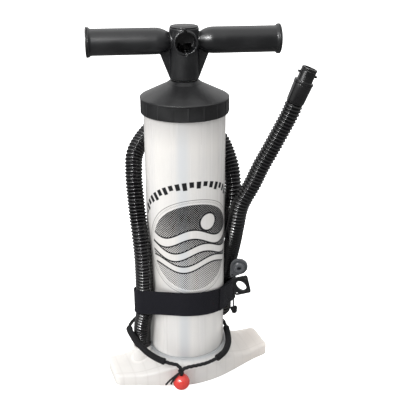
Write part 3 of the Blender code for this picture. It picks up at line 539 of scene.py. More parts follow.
def rounded(corners, steps=5, closed=True):
    """An outline whose corners (x, y, radius) are swapped for arcs. A corner without a radius stays sharp."""
    points = []
    count = len(corners)
    for index, (x, y, *soft) in enumerate(corners):
        here = Vector((x, y))
        ends = not closed and index in (0, count - 1)
        if not soft or soft[0] <= 0 or ends:
            points.append((x, y))
            continue
        before = Vector(corners[index - 1][:2]) - here
        after = Vector(corners[(index + 1) % count][:2]) - here
        half = before.angle(after) / 2
        cut = min(soft[0] / math.tan(half), before.length * 0.49, after.length * 0.49)
        start, end = here + before.normalized() * cut, here + after.normalized() * cut
        for step in range(steps + 1):
            t = step / steps
            point = start * (1 - t) ** 2 + here * 2 * t * (1 - t) + end * t**2
            points.append((point.x, point.y))
    return points


def skinned(rings, closed, uv=None):
    """A body over rings of points, closed into a loop or capped. A ring of one point is a pole.

    uv(ring, step) gives a corner's place on the UV map.
    """
    bm = bmesh.new()
    layer = bm.loops.layers.uv.new("UVMap") if uv else None
    loops = [[bm.verts.new(point) for point in ring] for ring in rings]
    for i in range(len(loops) if closed else len(loops) - 1):
        near, far = loops[i], loops[(i + 1) % len(loops)]
        for j in range(max(len(near), len(far))):
            k = j + 1
            corners = [near[j % len(near)], near[k % len(near)], far[k % len(far)], far[j % len(far)]]
            kept = list(dict.fromkeys(corners))
            if len(kept) < 3:
                continue
            face = bm.faces.new(kept)
            if uv:
                for corner, place in zip(face.loops, ((i, j), (i, k), (i + 1, k), (i + 1, j))):
                    corner[layer].uv = uv(*place)
    if not closed:
        for end in (loops[0][::-1], loops[-1]):
            if len(end) > 2:
                bm.faces.new(end)
    return bm


def turned(outline, segments, radial=None):
    """A body turned about Z from (radius, height) points, closed, or open with both ends on the axis.

    radial(angle, radius, height) may change each point's radius.
    """
    rings = []
    for radius, height in outline:
        if radius <= TINY:
            rings.append([(0, 0, height)])
            continue
        turns = [math.tau * step / segments for step in range(segments)]
        reaches = [radial(turn, radius, height) if radial else radius for turn in turns]
        rings.append([(reach * math.cos(t), reach * math.sin(t), height) for reach, t in zip(reaches, turns)])
    return skinned(rings, outline[0][0] > TINY or outline[-1][0] > TINY)


def lathe(corners, steps, segments):
    """A turned body from an outline with rounded corners."""
    return turned(rounded(corners, steps, corners[0][0] > 0), segments)


def spin(angle, axis):
    return Matrix.Rotation(angle, 4, axis)


def shift(x=0, y=0, z=0):
    return Matrix.Translation((x, y, z))


def moved(bm, matrix):
    bmesh.ops.transform(bm, matrix=matrix, verts=bm.verts)
    return bm


def cylinder(radius, low, high, segments=48, centre=(0, 0), soft=0.0):
    body = lathe([(0, low), (radius, low, soft), (radius, high, soft), (0, high)], 5, segments)
    return moved(body, shift(*centre))


def block(size, centre):
    bm = bmesh.new()
    bmesh.ops.create_cube(bm, size=1.0)
    bmesh.ops.scale(bm, verts=bm.verts, vec=size)
    return moved(bm, shift(*centre))


def prism(points, low, high):
    return skinned([[(x, y, height) for x, y in points] for height in (low, high)], False)


def circle_points(radius, count, centre=(0, 0)):
    turns = [math.tau * step / count for step in range(count)]
    return [(centre[0] + radius * math.cos(turn), centre[1] + radius * math.sin(turn)) for turn in turns]


def convex_hull(points):
    def turn(a, b, c):
        return (b[0] - a[0]) * (c[1] - a[1]) - (b[1] - a[1]) * (c[0] - a[0])

    def chain(ordered):
        kept = []
        for point in ordered:
            while len(kept) > 1 and turn(kept[-2], kept[-1], point) <= 0:
                kept.pop()
            kept.append(point)
        return kept[:-1]

    ordered = sorted(set(points))
    return chain(ordered) + chain(ordered[::-1])


def evaluated(bm, *modifiers):
    """A bmesh after some modifiers, given as (type, settings)."""
    bmesh.ops.recalc_face_normals(bm, faces=bm.faces)
    thing = link("work", mesh_of("work", bm))
    for kind, settings in modifiers:
        modifier = thing.modifiers.new(kind, kind)
        for key, value in settings.items():
            setattr(modifier, key, value)
    result = bmesh.new()
    result.from_object(thing, bpy.context.evaluated_depsgraph_get())
    bpy.data.objects.remove(thing)
    return result


def combined(operation, base, *tools):
    for tool in tools:
        bmesh.ops.recalc_face_normals(tool, faces=tool.faces)
        cutter = link("tool", mesh_of("tool", tool))
        base = evaluated(base, ("BOOLEAN", {"object": cutter, "operation": operation}))
        bpy.data.objects.remove(cutter)
    return base


def union(base, *tools):
    return combined("UNION", base, *tools)


def difference(base, *tools):
    return combined("DIFFERENCE", base, *tools)


def joined(bodies):
    """Several bodies in one, left as they are."""
    whole = bmesh.new()
    for body in bodies:
        whole.from_mesh(mesh_of("part", body))
    return whole


def softened(bm, width, segments):
    """Rounds the sharp edges of a hard-surface body."""
    return evaluated(bm, ("BEVEL", {
        "width": width, "segments": segments, "limit_method": "ANGLE", "angle_limit": math.radians(30),
        "use_clamp_overlap": True,
    }))


def melted(bm, voxel, rounds):
    """One skin over joined bodies, with moulded fillets where they meet."""
    return evaluated(
        bm,
        ("REMESH", {"mode": "VOXEL", "voxel_size": voxel}),
        ("SMOOTH", {"factor": 0.5, "iterations": rounds}),
    )


# ---- paths and sweeps


def polar(radius, azimuth, height):
    angle = math.radians(azimuth)
    return Vector((radius * math.cos(angle), radius * math.sin(angle), height))


def smooth_path(points, step):
    """Points about one step apart along a smooth curve through the given points."""
    padded = [points[0] * 2 - points[1], *points, points[-1] * 2 - points[-2]]
    path = []
    for p0, p1, p2, p3 in zip(padded, padded[1:], padded[2:], padded[3:]):
        count = max(1, round((p2 - p1).length / step))
        for index in range(count):
            t = index / count
            path.append(
                0.5 * (2 * p1 + (p2 - p0) * t + (2 * p0 - 5 * p1 + 4 * p2 - p3) * t**2)
                + 0.5 * (3 * p1 - p0 - 3 * p2 + p3) * t**3
            )
    return path + [points[-1]]


def evenly(path, step):
    """The same path with points at equal distances."""
    lengths = np.array([0.0] + [(b - a).length for a, b in zip(path, path[1:])]).cumsum()
    marks = np.linspace(0, lengths[-1], max(2, round(lengths[-1] / step) + 1))
    coordinates = np.array(path)
    return [Vector([np.interp(mark, lengths, coordinates[:, axis]) for axis in range(3)]) for mark in marks]


def swept(path, radius, sides, bore=None):
    """A round bar or pipe along a path. radius is a number or a function of (distance, angle).

    UV is millimetres round and along.
    """
    reach = radius if callable(radius) else lambda distance, angle: radius
    turns = [math.tau * step / sides for step in range(sides)]
    outer, inner, marks, side, distance = [], [], [], None, 0.0
    for index, point in enumerate(path):
        tangent = (path[min(index + 1, len(path) - 1)] - path[max(index - 1, 0)]).normalized()
        side = tangent.orthogonal() if side is None else side
        side = (side - tangent * side.dot(tangent)).normalized()
        up = tangent.cross(side)
        distance += (point - path[index - 1]).length if index else 0.0
        marks.append(distance)
        spokes = [side * math.cos(turn) + up * math.sin(turn) for turn in turns]
        outer.append([point + spoke * reach(distance, turn) for spoke, turn in zip(spokes, turns)])
        inner.append([point + spoke * (bore or 0.0) for spoke in spokes])
    unit = reach(0.0, 0.0) * math.tau / sides
    if bore:
        outer += inner[::-1]
        marks += marks[::-1]
    return skinned(outer, bool(bore), lambda ring, step: (step * unit, marks[ring % len(marks)]))


# ---- foot board


def ramp_height(x, y):
    climb = (RAMP_REACH - math.hypot(x, y)) / (RAMP_REACH - HUB_R)
    return WING_HEIGHT + (RAMP_TOP - WING_HEIGHT) * min(1.0, max(0.0, climb)) ** 2


def front_half_width(x):
    swell = math.cos(QUARTER * min(1.0, abs(x) / FRONT_REACH)) ** 2
    return WING_HALF_WIDTH + (FRONT_BULGE - WING_HALF_WIDTH) * swell


def back_half_width(x):
    """Straight behind the wings, round behind the hub, with a soft change between the two."""
    hub = math.sqrt(max(0.0, (HUB_R + BOARD_WALL) ** 2 - x * x))
    return BACK_BLEND * math.log(math.exp(WING_HALF_WIDTH / BACK_BLEND) + math.exp(hub / BACK_BLEND))


def edge_shares(length, corner, count, middle):
    """Distances across a width that crowd together inside the rounded edges, from one side to the other."""
    start = [corner * (1 - math.cos(QUARTER * step / count)) for step in range(count + 1)]
    inner = [corner + (length - 2 * corner) * step / middle for step in range(1, middle)]
    return start + inner + [length - distance for distance in start[::-1]]


def board_columns(inset, middle):
    """Places along X for the board's cross-sections, and how far the wing tips' corners pull each in."""
    corner = WING_TIP_RADIUS - inset / 2
    pulls = [(corner * (1 - math.cos(QUARTER * step / 8)), corner * (1 - math.sin(QUARTER * step / 8)))
             for step in range(9)]
    left = [(-WING_LEFT + inset + along, pull) for along, pull in pulls]
    right = [(WING_RIGHT - inset - along, pull) for along, pull in pulls[::-1]]
    start, span = left[-1][0], right[0][0] - left[-1][0]
    return left + [(start + span * step / middle, 0.0) for step in range(1, middle)] + right


def board_body(inset, low, roof, middle=110, rows=34, edge=0.0):
    """The foot board's outline between a flat bottom and a roof, its top edge rounded by edge."""
    rings = []
    for x, pull in board_columns(inset, middle):
        front = -front_half_width(x) + inset + pull
        back = back_half_width(x) - inset - pull
        to_tip = min(x + WING_LEFT, WING_RIGHT - x) - inset
        bottom, top = [], []
        for distance in edge_shares(back - front, max(edge, 1.0), 5, rows):
            y = front + distance
            gap = min(distance, back - front - distance, to_tip)
            drop = edge - math.sqrt(max(0.0, edge**2 - max(0.0, edge - gap) ** 2))
            bottom.append((x, y, low))
            top.append((x, y, roof(x, y) - drop))
        rings.append(bottom + top[::-1])
    bm = skinned(rings, False)
    bmesh.ops.triangulate(bm, faces=bm.faces)
    return bm


def duct_outline(extra):
    chamber = circle_points(VALVE_CHAMBER_R + extra, 48)
    return convex_hull(chamber + circle_points(DUCT_END_R + extra, 48, (PORT_X, 0)))


def board_ribs():
    ribs = []
    for side, length in ((-1, WING_LEFT), (1, WING_RIGHT)):
        x = RIB_FIRST
        while x < length - RIB_SPACING / 2:
            ribs.append(block((RIB_THICK, 4 * FRONT_BULGE, HUB_TOP * 2), (side * x, 0, HUB_TOP / 2)))
            x += RIB_SPACING
        size = (length - VALVE_CHAMBER_R, RIB_THICK, HUB_TOP * 2)
        ribs.append(block(size, (side * (length + VALVE_CHAMBER_R) / 2, 0, HUB_TOP / 2)))
    return ribs


def make_footplate(surface):
    """The board, hollow and ribbed from below, with its hub ring and the hose's boss as turned pieces."""
    def roof(x, y):
        return min(ramp_height(x, y) - BOARD_WALL, HUB_FLOOR_BOTTOM)

    hollow = difference(board_body(BOARD_WALL, -BOARD_WALL, roof, 60, 20), *board_ribs())
    hollow = difference(hollow, prism(duct_outline(DUCT_WALL), -2 * BOARD_WALL, HUB_TOP))
    board = difference(
        board_body(0.0, 0.0, ramp_height, edge=BOARD_EDGE),
        cylinder(BARREL_R + 1, HUB_FLOOR_TOP, 2 * HUB_TOP, 128),
        hollow,
        prism(duct_outline(DUCT_WALL + GAP), -BOARD_WALL, DUCT_FLOOR),
        prism(duct_outline(0.0), DUCT_FLOOR - BOARD_WALL, DUCT_CEILING),
        cylinder(VALVE_CHAMBER_R, DUCT_CEILING - BOARD_WALL, HUB_FLOOR_BOTTOM),
        cylinder(VALVE_HOLE_R, DUCT_CEILING, 2 * HUB_TOP),
        cylinder(PORT_BORE, DUCT_CEILING - BOARD_WALL, 2 * HUB_TOP, centre=(PORT_X, 0)),
    )
    piece("foot_board", board, surface, "footplate", sharp=32)
    inner, low = BARREL_R + GAP, HUB_FLOOR_TOP - 1
    rim = lathe([(inner, low), (HUB_R, low), (HUB_R, HUB_TOP, 0.8), (inner, HUB_TOP, 0.4)], 5, 192)
    piece("hub_rim", rim, surface)
    boss = lathe([
        (DUCT_END_R, DUCT_FLOOR), (PORT_BOSS_R, DUCT_FLOOR), (PORT_BOSS_R, PORT_TOP, 1.2),
        (PORT_BORE, PORT_TOP, 0.5), (PORT_BORE, DUCT_CEILING), (DUCT_END_R, DUCT_CEILING),
    ], 5, 96)
    piece("port_boss", moved(boss, shift(PORT_X)), surface)


# ---- barrel, cap and rod


def tube(bore, radius, low, high, soft, steps, segments):
    corners = [(bore, low, soft), (radius, low, soft), (radius, high, soft), (bore, high, soft)]
    return lathe(corners, steps, segments)


def make_barrel(surface):
    body = tube(BARREL_BORE, BARREL_R, BARREL_LOW.z, BARREL_HIGH.z, 0.6, 3, 192)
    piece("barrel_tube", body, surface, "barrel")


def make_cap(surface):
    """Cone and grip ring in one moulding, with upright ribs between the ring's panels."""
    bore, neck_bore = BARREL_R + GAP, 16.4
    low, top, shelf = CAP_LOW.z, CAP_HIGH.z, BARREL_HIGH.z + GAP
    neck_low = top - 17.5
    ring_r = CAP_R - CAP_RIB

    def ribs(angle, radius, height):
        if radius < ring_r - 0.2 or not low + 0.8 < height < CAP_SHOULDER - 1.5:
            return radius
        spacing = math.tau / CAP_PANELS
        offset = abs((angle - CAP_PANEL_PHASE + spacing / 2) % spacing - spacing / 2)
        return radius + CAP_RIB * min(1.0, max(0.0, 1.6 - offset / CAP_RIB_HALF))

    outline = rounded([
        (bore, low, 0.3), (ring_r, low, 1.0), (ring_r, low + 1.2), (ring_r, low + 4),
        (ring_r, CAP_SHOULDER - 2.4), (ring_r, CAP_SHOULDER - 1.4, 0.2), (CAP_R, CAP_SHOULDER - 1.0, 0.3),
        (CAP_R, CAP_SHOULDER + 0.4, 0.5), (CAP_R - 1.4, CAP_SHOULDER + 1.6, 2.2),
        (CAP_NECK_R + 6, top - 4.6, 9), (CAP_NECK_R + 0.8, top - 0.5, 0.8), (CAP_NECK_R - 1, top, 0.5),
        (neck_bore, top, 0.4), (neck_bore, neck_low), (CAP_NECK_R, neck_low), (CAP_NECK_R, top - 8),
        (BARREL_R - 6, CAP_SHOULDER - 1.5), (BARREL_R - 6, shelf), (bore, shelf),
    ], 6)
    piece("cap", turned(outline, 720, ribs), surface, "barrel_cap", sharp=50)


def make_rod(surface):
    rod = tube(ROD_BORE, ROD_R, ROD_LOW.z, ROD_HIGH.z, 0.8, 4, 96)
    hole = moved(cylinder(SCREW_HOLE_R, 0.0, 2 * ROD_R, 24), screw_frame())
    piece("rod_tube", difference(rod, hole), surface, "piston_rod", body="handle")


# ---- handle


def handle_frame():
    return shift(z=HANDLE_Z) @ spin(HANDLE_YAW, "Z")


def screw_frame():
    """The screw's place on the column, +Z towards its head."""
    return spin(HANDLE_YAW, "Z") @ shift(z=HANDLE_BOTTOM + SCREW_UP) @ spin(-QUARTER, "X")


def grip_outline():
    """One half of the double grip, from the handle's middle to its open end, then mirrored."""
    curve = [(point.x, point.y) for point in smooth_path([Vector((*point, 0)) for point in SHOULDER], 1)]
    half = rounded([
        (GRIP_NECK_R, 0), *curve, (GRIP_R, HANDLE_HALF - 6.4, 2.6), (GRIP_FLANGE_R, HANDLE_HALF - 4.2, 1.2),
        (GRIP_FLANGE_R, HANDLE_HALF - 3, 0.2), (GRIP_BORE, HANDLE_HALF - 3), (GRIP_BORE, 44), (0, 44),
    ], 8, closed=False)
    return [(radius, -along) for radius, along in half[::-1]] + half[1:]


def make_handle(surface):
    """The fused middle of the handle as one moulded skin, with crisp grips, port rim and foot."""
    forward = spin(QUARTER, "X")
    drop, crown = HANDLE_BOTTOM - HANDLE_Z, CROWN_LOW.z - GAP - HANDLE_Z
    web = [(-COLUMN_R, drop + 0.7), (COLUMN_R, drop + 0.7), (34, -15), (34, -4), (-34, -4), (-34, -15)]
    body = union(
        moved(turned(grip_outline(), 96), spin(QUARTER, "Y")),
        cylinder(COLUMN_R, drop, crown, 96, soft=1.2),
        moved(prism(web, -WEB_HALF, WEB_HALF), forward),
        moved(cylinder(HANDLE_PORT_RIM, 0.0, HANDLE_PORT_FRONT, 96, soft=0.8), forward),
    )
    body = difference(
        body,
        moved(cylinder(HANDLE_PORT_R, 2, 2 * HANDLE_PORT_FRONT, 96), forward),
        cylinder(ROD_R + GAP, drop - 1, ROD_HIGH.z + GAP - HANDLE_Z, 64),
        cylinder(ROD_BORE, ROD_HIGH.z - HANDLE_Z, -3.7, 64),
        *(block((4.2, 14, 5), (0, -HANDLE_PORT_FRONT, side * (HANDLE_PORT_R + 0.2))) for side in (-1, 1)),
    )
    screw_hole = moved(cylinder(SCREW_HOLE_R, 0.0, 2 * COLUMN_R, 24), screw_frame())
    body = difference(moved(body, handle_frame()), screw_hole)
    body = melted(body, HANDLE_VOXEL, 4)
    piece("t_handle", body, surface, "handle_body", body="handle", sharp=40)


def make_crown(surface):
    """Blank domed disc on top of the column, in a shallow recess with a rolled rim."""
    low, top = CROWN_LOW.z, CROWN_HIGH.z
    rim = COLUMN_R - 0.8
    disc = lathe([
        (0, low), (rim, low, 0.2), (rim, top - 1.3, 0.8), (rim - 2.2, top - 0.6, 0.5),
        (rim - 3.0, top - 1.2, 0.4), (rim - 4.2, top - 1.2, 0.5), (rim - 5.4, top - 0.25, 1.0), (0, top),
    ], 5, 96)
    piece("crown_disc", disc, surface, "handle_crown", body="handle")


def make_plugs(surface):
    stem = GRIP_BORE - GAP
    low, high = HANDLE_HALF - 2.7, HANDLE_HALF
    for side, quarter in (("left", -QUARTER), ("right", QUARTER)):
        plug = lathe([
            (0, low - 12), (stem, low - 12, 1.0), (stem, low), (GRIP_FLANGE_R, low, 0.3),
            (GRIP_FLANGE_R, high - 0.6, 1.0), (GRIP_FLANGE_R - 2.4, high, 0.9),
            (GRIP_FLANGE_R - 5, high, 0.6), (GRIP_FLANGE_R - 6.5, high - 1.1, 0.8), (0, high - 0.9),
        ], 5, 96)
        plug = moved(plug, handle_frame() @ spin(quarter, "Y"))
        piece(f"grip_end_{side}", plug, surface, f"grip_plug_{side}", body="handle")


def make_screw(surface):
    """Self-tapping screw with a cross recess."""
    shank, head = 2.2, 3.4
    start, end = ROD_BORE + 1, COLUMN_R + GAP
    screw = lathe([
        (0, start), (shank * 0.4, start), (shank, start + 3, 0.3), (shank, end), (head, end, 0.2),
        (head, end + 0.8, 0.6), (0, end + 2),
    ], 4, 32)
    for size in ((3.6, 0.8, 2), (0.8, 3.6, 2)):
        screw = difference(screw, block(size, (0, 0, end + 2)))
    piece("cross_screw", moved(screw, screw_frame()), surface, "rod_screw", body="handle")


# ---- hose


def hose_end_frame():
    """Start of the free end's cuff, +Z along the nozzle."""
    place = shift(*polar(*HOSE_END_PLACE))
    return place @ spin(ADAPTOR_AZIMUTH, "Z") @ spin(HOSE_END_LEAN, "Y")


def hose_path(step):
    """Up the left side, behind the barrel, down into a low bend and up again to the free end."""
    stations = [
        (72, 180, 48.6), (72, 180.3, 63), (73, 184, 82), (71, 188, 106), (HOSE_CLEAR, 189, 130),
        (HOSE_CLEAR, 189, 190), (HOSE_CLEAR, 182, 232), (71, 172.5, 259), (72.5, 164, 285),
        (75.7, 152.5, 317), (78, 137.5, 345), (76, 107, 372), (73, 70, 388), (76.2, 34, 360),
        (75.6, 11, 325), (74, -2, 290),
        (73, -1, 262), (72.3, 8, 237), (71.6, 21, 209), (71.2, 38, 178), (71.2, 54, 148), (71.8, 66, 118),
        (76, 68, 90), (81, 50, 62), (79.5, 31, 58), (77, 20, 70), (71.8, 18, 100), (71, 15, 120),
        (HOSE_CLEAR, 8.5, 140), (HOSE_CLEAR, 0, 170), (HOSE_CLEAR, -18, 208), (75, -28.5, 242),
        (81.4, -30.6, 275), (97, -28.9, 307), (109, -27.9, 335), (122.5, -27, 362),
    ]
    ends = [hose_end_frame() @ Vector((0, 0, height)) for height in (-20, -GAP)]
    return smooth_path([polar(*station) for station in stations] + ends, step)


def ridged(distance, _angle):
    """Radius of the corrugated hose: wide rounded crests and narrow grooves."""
    crest = (0.5 + 0.5 * math.cos(math.tau * distance / HOSE_PITCH)) ** 0.7
    return HOSE_R - HOSE_RIDGE * (1 - crest)


def make_hose(surface):
    steps, sides = ((8, 28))
    path = evenly(hose_path(2), HOSE_PITCH / steps)
    piece("corrugated_hose", swept(path, ridged, sides), surface, "hose", sharp=80)


def groove(radius, low, high):
    """The corners of a ring seal's groove in a fitting as wide as the nozzle."""
    return [(NOZZLE_R, low, GROOVE_BELOW), (radius, low), (radius, high), (NOZZLE_R, high, GROOVE_BELOW)]


def make_seal(name, radius, low, high, place, surface, node):
    """A ring of round section lying in a groove."""
    thick = min(NOZZLE_R - radius, high - low) / 2 * 0.92
    section = circle_points(thick, 16, (radius + 0.15 + thick, (low + high) / 2))
    piece(name, moved(turned(section, 96), place), surface, node)


def make_base_plug(surface, seal_surface):
    """The hose's lower fitting, with a knurled collar just above the port."""
    ring = (9.4, 33, 36)
    collar_low, collar_high, collar_r = PORT_TOP + GAP, 48.3, 13.2

    def knurl(angle, radius, height):
        return radius - (0.25 if radius > collar_r - 0.6 and math.cos(angle * 24) > 0.4 else 0.0)

    outline = rounded([
        (SPIGOT_BORE, 25, 0.3), (NOZZLE_R, 25, 0.8), *groove(*ring), (NOZZLE_R, collar_low),
        (collar_r, collar_low, 0.5), (collar_r, collar_high, 0.6), (SPIGOT_R, collar_high),
        (SPIGOT_R, 62, 0.5), (SPIGOT_BORE, 62, 0.3),
    ], 4)
    piece("base_plug", moved(turned(outline, 144, knurl), shift(PORT_X)), surface, "hose_base_plug")
    make_seal("base_ring", *ring, shift(PORT_X), seal_surface, "base_plug_seal")


def make_hose_end(surface, seal_surface):
    """Cuff, bayonet nozzle with side pins, and its ring seal."""
    end = hose_end_frame()
    tail_r, tail_start = 9.2, 12
    cuff = lathe([
        (SPIGOT_BORE, -12, 0.3), (SPIGOT_R, -12, 0.5), (SPIGOT_R, 0), (11.7, 0, 0.6), (11.8, 2.2, 0.3),
        (12.5, 3.0, 0.4), (12.7, 12, 6), (13.2, CUFF_LENGTH - 5, 3), (13.3, CUFF_LENGTH, 0.5),
        (tail_r + GAP, CUFF_LENGTH), (tail_r + GAP, tail_start), (SPIGOT_BORE, tail_start),
    ], 5, 96)
    piece("end_cuff", moved(cuff, end), surface, "hose_end_cuff")
    base, collar, collar_r = CUFF_LENGTH + GAP, CUFF_LENGTH + 4.5, 13.8
    ring = (10, 46.5, 49)
    tube_bore = NOZZLE_BORE - 2
    nozzle = lathe([
        (tube_bore, tail_start + 1, 0.3), (tail_r, tail_start + 1, 0.4), (tail_r, base),
        (collar_r, base, 0.7), (collar_r, collar, 0.8), (NOZZLE_R, collar, 0.6),
        *groove(*ring), (NOZZLE_R, NOZZLE_LENGTH, 0.6),
        (NOZZLE_BORE, NOZZLE_LENGTH, 0.4), (NOZZLE_BORE, collar), (tube_bore, collar),
    ], 4, 96)
    for side in (-1, 1):
        pin = cylinder(PIN_R, NOZZLE_R - 1.5, NOZZLE_R + 3, 24, soft=0.5)
        nozzle = union(nozzle, moved(pin, shift(z=PIN_ALONG) @ spin(side * QUARTER, "Y")))
    piece("bayonet_nozzle", moved(nozzle, end), surface, "hose_nozzle")
    make_seal("nozzle_ring", *ring, end, seal_surface, "nozzle_seal")


# ---- strap


def strap_height(x, y):
    return STRAP_MID - STRAP_TILT * (x * math.cos(STRAP_TILT_AZIMUTH) + y * math.sin(STRAP_TILT_AZIMUTH))


def strap_outline(step):
    """The taut loop round the barrel and every stretch of hose inside the strap, as evenly spaced points."""
    points = circle_points(BARREL_R + 1.0, 128)
    path = hose_path(HOSE_CAD_STEP)
    for near, far in zip(path, path[1:]):
        for share in range(6):
            place = near.lerp(far, share / 6)
            if abs(place.z - strap_height(place.x, place.y)) < STRAP_WIDTH / 2 + 6:
                points += circle_points(HOSE_R + 0.2, 48, (place.x, place.y))
    hull = [Vector((*point, 0)) for point in convex_hull(points)]
    return evenly(hull + hull[:1], step)[:-1]


def outward_at(outline, index):
    along = outline[(index + 1) % len(outline)] - outline[index - 1]
    return Vector((along.y, -along.x, 0)).normalized()


def band(outline, start, end, width, lift, wobble):
    """A webbing band standing on a stretch of an outline: rounded selvedges, slight waves and UVs in mm."""
    count, half, selvedge, sunk = len(outline), width / 2, 0.8, WEBBING * 0.82
    section = rounded([
        (0, -half, selvedge), (WEBBING, -half, selvedge), (WEBBING, -half + 2.6, 0.3),
        (sunk, -half + 3.4, 0.3), (sunk, 0), (sunk, half - 3.4, 0.3),
        (WEBBING, half - 2.6, 0.3), (WEBBING, half, selvedge), (0, half, selvedge),
    ], 3)
    rings, marks = [], [0.0]
    for index in range(round(count * start), round(count * end)):
        point = outline[index]
        outward = outward_at(outline, index)
        wave = wobble * math.sin(marks[-1] * 0.031) * math.sin(marks[-1] * 0.013 + 1)
        middle = Vector((point.x, point.y, strap_height(point.x, point.y) + wave))
        rings.append([middle + outward * (lift + out) + Vector((0, 0, up)) for out, up in section])
        marks.append(marks[-1] + (outline[(index + 1) % count] - point).length)
    across = [up for _, up in section]
    return skinned(rings, len(rings) == count, lambda ring, step: (across[step % len(across)], marks[ring]))


def make_strap(surface, thread):
    """The strap, its overlapping tail and two rows of stitches across the tail's end."""
    outline = strap_outline(2)
    piece("webbing_strap", band(outline, 0.0, 1.0, STRAP_WIDTH, 0.0, 0.5), surface, "strap", sharp=50)
    tail = band(outline, TAIL_START, TAIL_END, STRAP_WIDTH - 1.5, STRAP_THICK, 0.3)
    piece("strap_tail", tail, surface, sharp=50)
    stitches = []
    for from_end in (1.2, 2.6):
        index = round(len(outline) * (TAIL_END - 0.012 * from_end))
        place = outline[index] + outward_at(outline, index) * (2 * STRAP_THICK - STITCH_R)
        height = strap_height(outline[index].x, outline[index].y)
        for step in range(-4, 5):
            stitch = cylinder(STITCH_R, -1.1, 1.1, 8, soft=0.2)
            stitches.append(moved(stitch, shift(place.x, place.y, height + step * 3.6)))
    piece("strap_stitches", joined(stitches), thread)


# ---- leash and ball


def leash_path(step):
    stations = [
        (81.6, 245.2, 37), (80.2, 243.8, 40), (78.4, 240.5, 43), (79.5, 234.5, 44.8), (81.5, 226, 47.5),
        (84.5, 212, 53), (88.5, 196, 63), (91, 184, 71), (90.3, 174, 73.5), (84, 164, 74.5), (75, 151, 75),
        (66, 134, 75), (61.5, 115, 73), (61, 90, 66), (61, 60, 57), (61.5, 35, 53), (61.8, 14, 55),
        (62.4, -1, 58.5), (63.4, -14, 54), (66, -27, 49), (70, -42, 46.5), (73.5, -56, 44.5),
        (75.5, -70, 42.8), (77.4, -85, 42), (79, -98, 42), (80.4, -108.5, 40.5), (81.5, -113.5, 37),
    ]
    return smooth_path([polar(*station) for station in stations], step)


def make_cord(name, path, radius, proud, pitch, sides, surface, *replaced):
    """A braided cord along a path: three strands each way, which stand proud where they cross."""

    def reach(distance, angle):
        turn = math.tau * distance / pitch
        return radius - proud + proud * max(math.cos(3 * angle + turn), math.cos(3 * angle - turn))

    piece(name, swept(path, reach, sides), surface, *replaced, sharp=80)


def make_leash(cord, sleeve):
    path = evenly(leash_path(2), CORD_STEP)
    make_cord("leash_line", path, CORD_R, 0.35, 7, 16, cord, "leash_cord")
    last = len(path) - 1
    for side, start, end in (("left", 0.06, 0.24), ("right", 0.715, 0.875)):
        part = path[round(last * start): round(last * end) + 1]
        length = len(part) * CORD_STEP

        def reach(distance, angle):
            edge = min(distance, length - distance)
            cuff = 0.35 * (edge < 4) - 0.5 * max(0.0, 1 - edge / 1.2)
            return SLEEVE_R - 0.35 + cuff + 0.12 * math.sin(angle * 3 + distance * 0.26)

        body = swept(part, reach, 28, SLEEVE_BORE)
        piece(f"leash_grip_{side}", body, sleeve, f"leash_sleeve_{side}", sharp=70)


def knot_path(frame_matrix, size, count):
    """A three-lobed knot, the shape of a pulled overhand knot, open at one place."""
    turns = [math.tau * step / count for step in range(count - 1)]
    return [frame_matrix @ (Vector((
        math.sin(t) + 2 * math.sin(2 * t), math.cos(t) - 2 * math.cos(2 * t), -1.3 * math.sin(3 * t),
    )) * size) for t in turns]


def make_ball(surface, centre, middle):
    """The ball with its moulding seam and the blind hole for the cord. Gives the height of the hole's end."""
    mouth, blind = BALL_BORE + BALL_LIP, middle - BALL_R / 2
    outline = []
    for step in range(65):
        arc = math.pi * step / 64
        radius, height = BALL_R * math.sin(arc), middle - BALL_R * math.cos(arc)
        seam = 0.12 * math.exp(-((height - middle) / 0.35) ** 2)
        if arc < QUARTER or radius > mouth:
            outline.append((radius + seam, height))
    lip = middle + math.sqrt(BALL_R**2 - mouth**2)
    outline += [(BALL_BORE + 0.2, lip - 0.1), (BALL_BORE, lip - BALL_LIP), (BALL_BORE, blind), (0, blind)]
    ball = moved(turned(outline, 96), shift(centre.x, centre.y))
    piece("red_ball", ball, surface, "stopper_ball", sharp=50)
    return blind


def make_knot_and_ball(cord, ball_surface):
    centre = (BALL_LOW + BALL_HIGH) / 2
    blind = make_ball(ball_surface, centre, centre.z)
    knot_height = BALL_HIGH.z + 5.4
    turn = shift(centre.x, centre.y, knot_height) @ spin(math.radians(65), "X")
    make_cord("leash_tie", knot_path(turn, 1.15, 140), 1.8, 0.3, 6, 14, cord, "leash_knot")
    stem = [Vector((centre.x, centre.y, height)) for height in np.linspace(blind + 1, knot_height - 2, 24)]
    make_cord("ball_line", stem, 2.3, 0.3, 6, 14, cord)
    start = Vector((centre.x - 4, centre.y - 1, knot_height - 1))
    for index, (aim, length) in enumerate((((-0.76, 0.16, -0.58), 25), ((-0.66, 0.02, -0.66), 18))):
        reach = Vector(aim).normalized() * length
        sag = [start + reach * share - Vector((0, 0, drop))
               for share, drop in ((0, 0), (0.35, 0.5), (0.7, 1.6), (1, 4))]
        tail = evenly(smooth_path(sag, 1), 0.8)
        make_cord(f"leash_tail_{index + 1}", tail, 1.5, 0.25, 5, 12, cord)


# ---- adaptors


def adaptor_frame(place, roll):
    """An adaptor's place in front of the barrel, +Z towards the front."""
    face = spin(ADAPTOR_AZIMUTH, "Z") @ spin(QUARTER, "X") @ spin(math.radians(roll), "Z")
    return shift(*polar(*place)) @ face


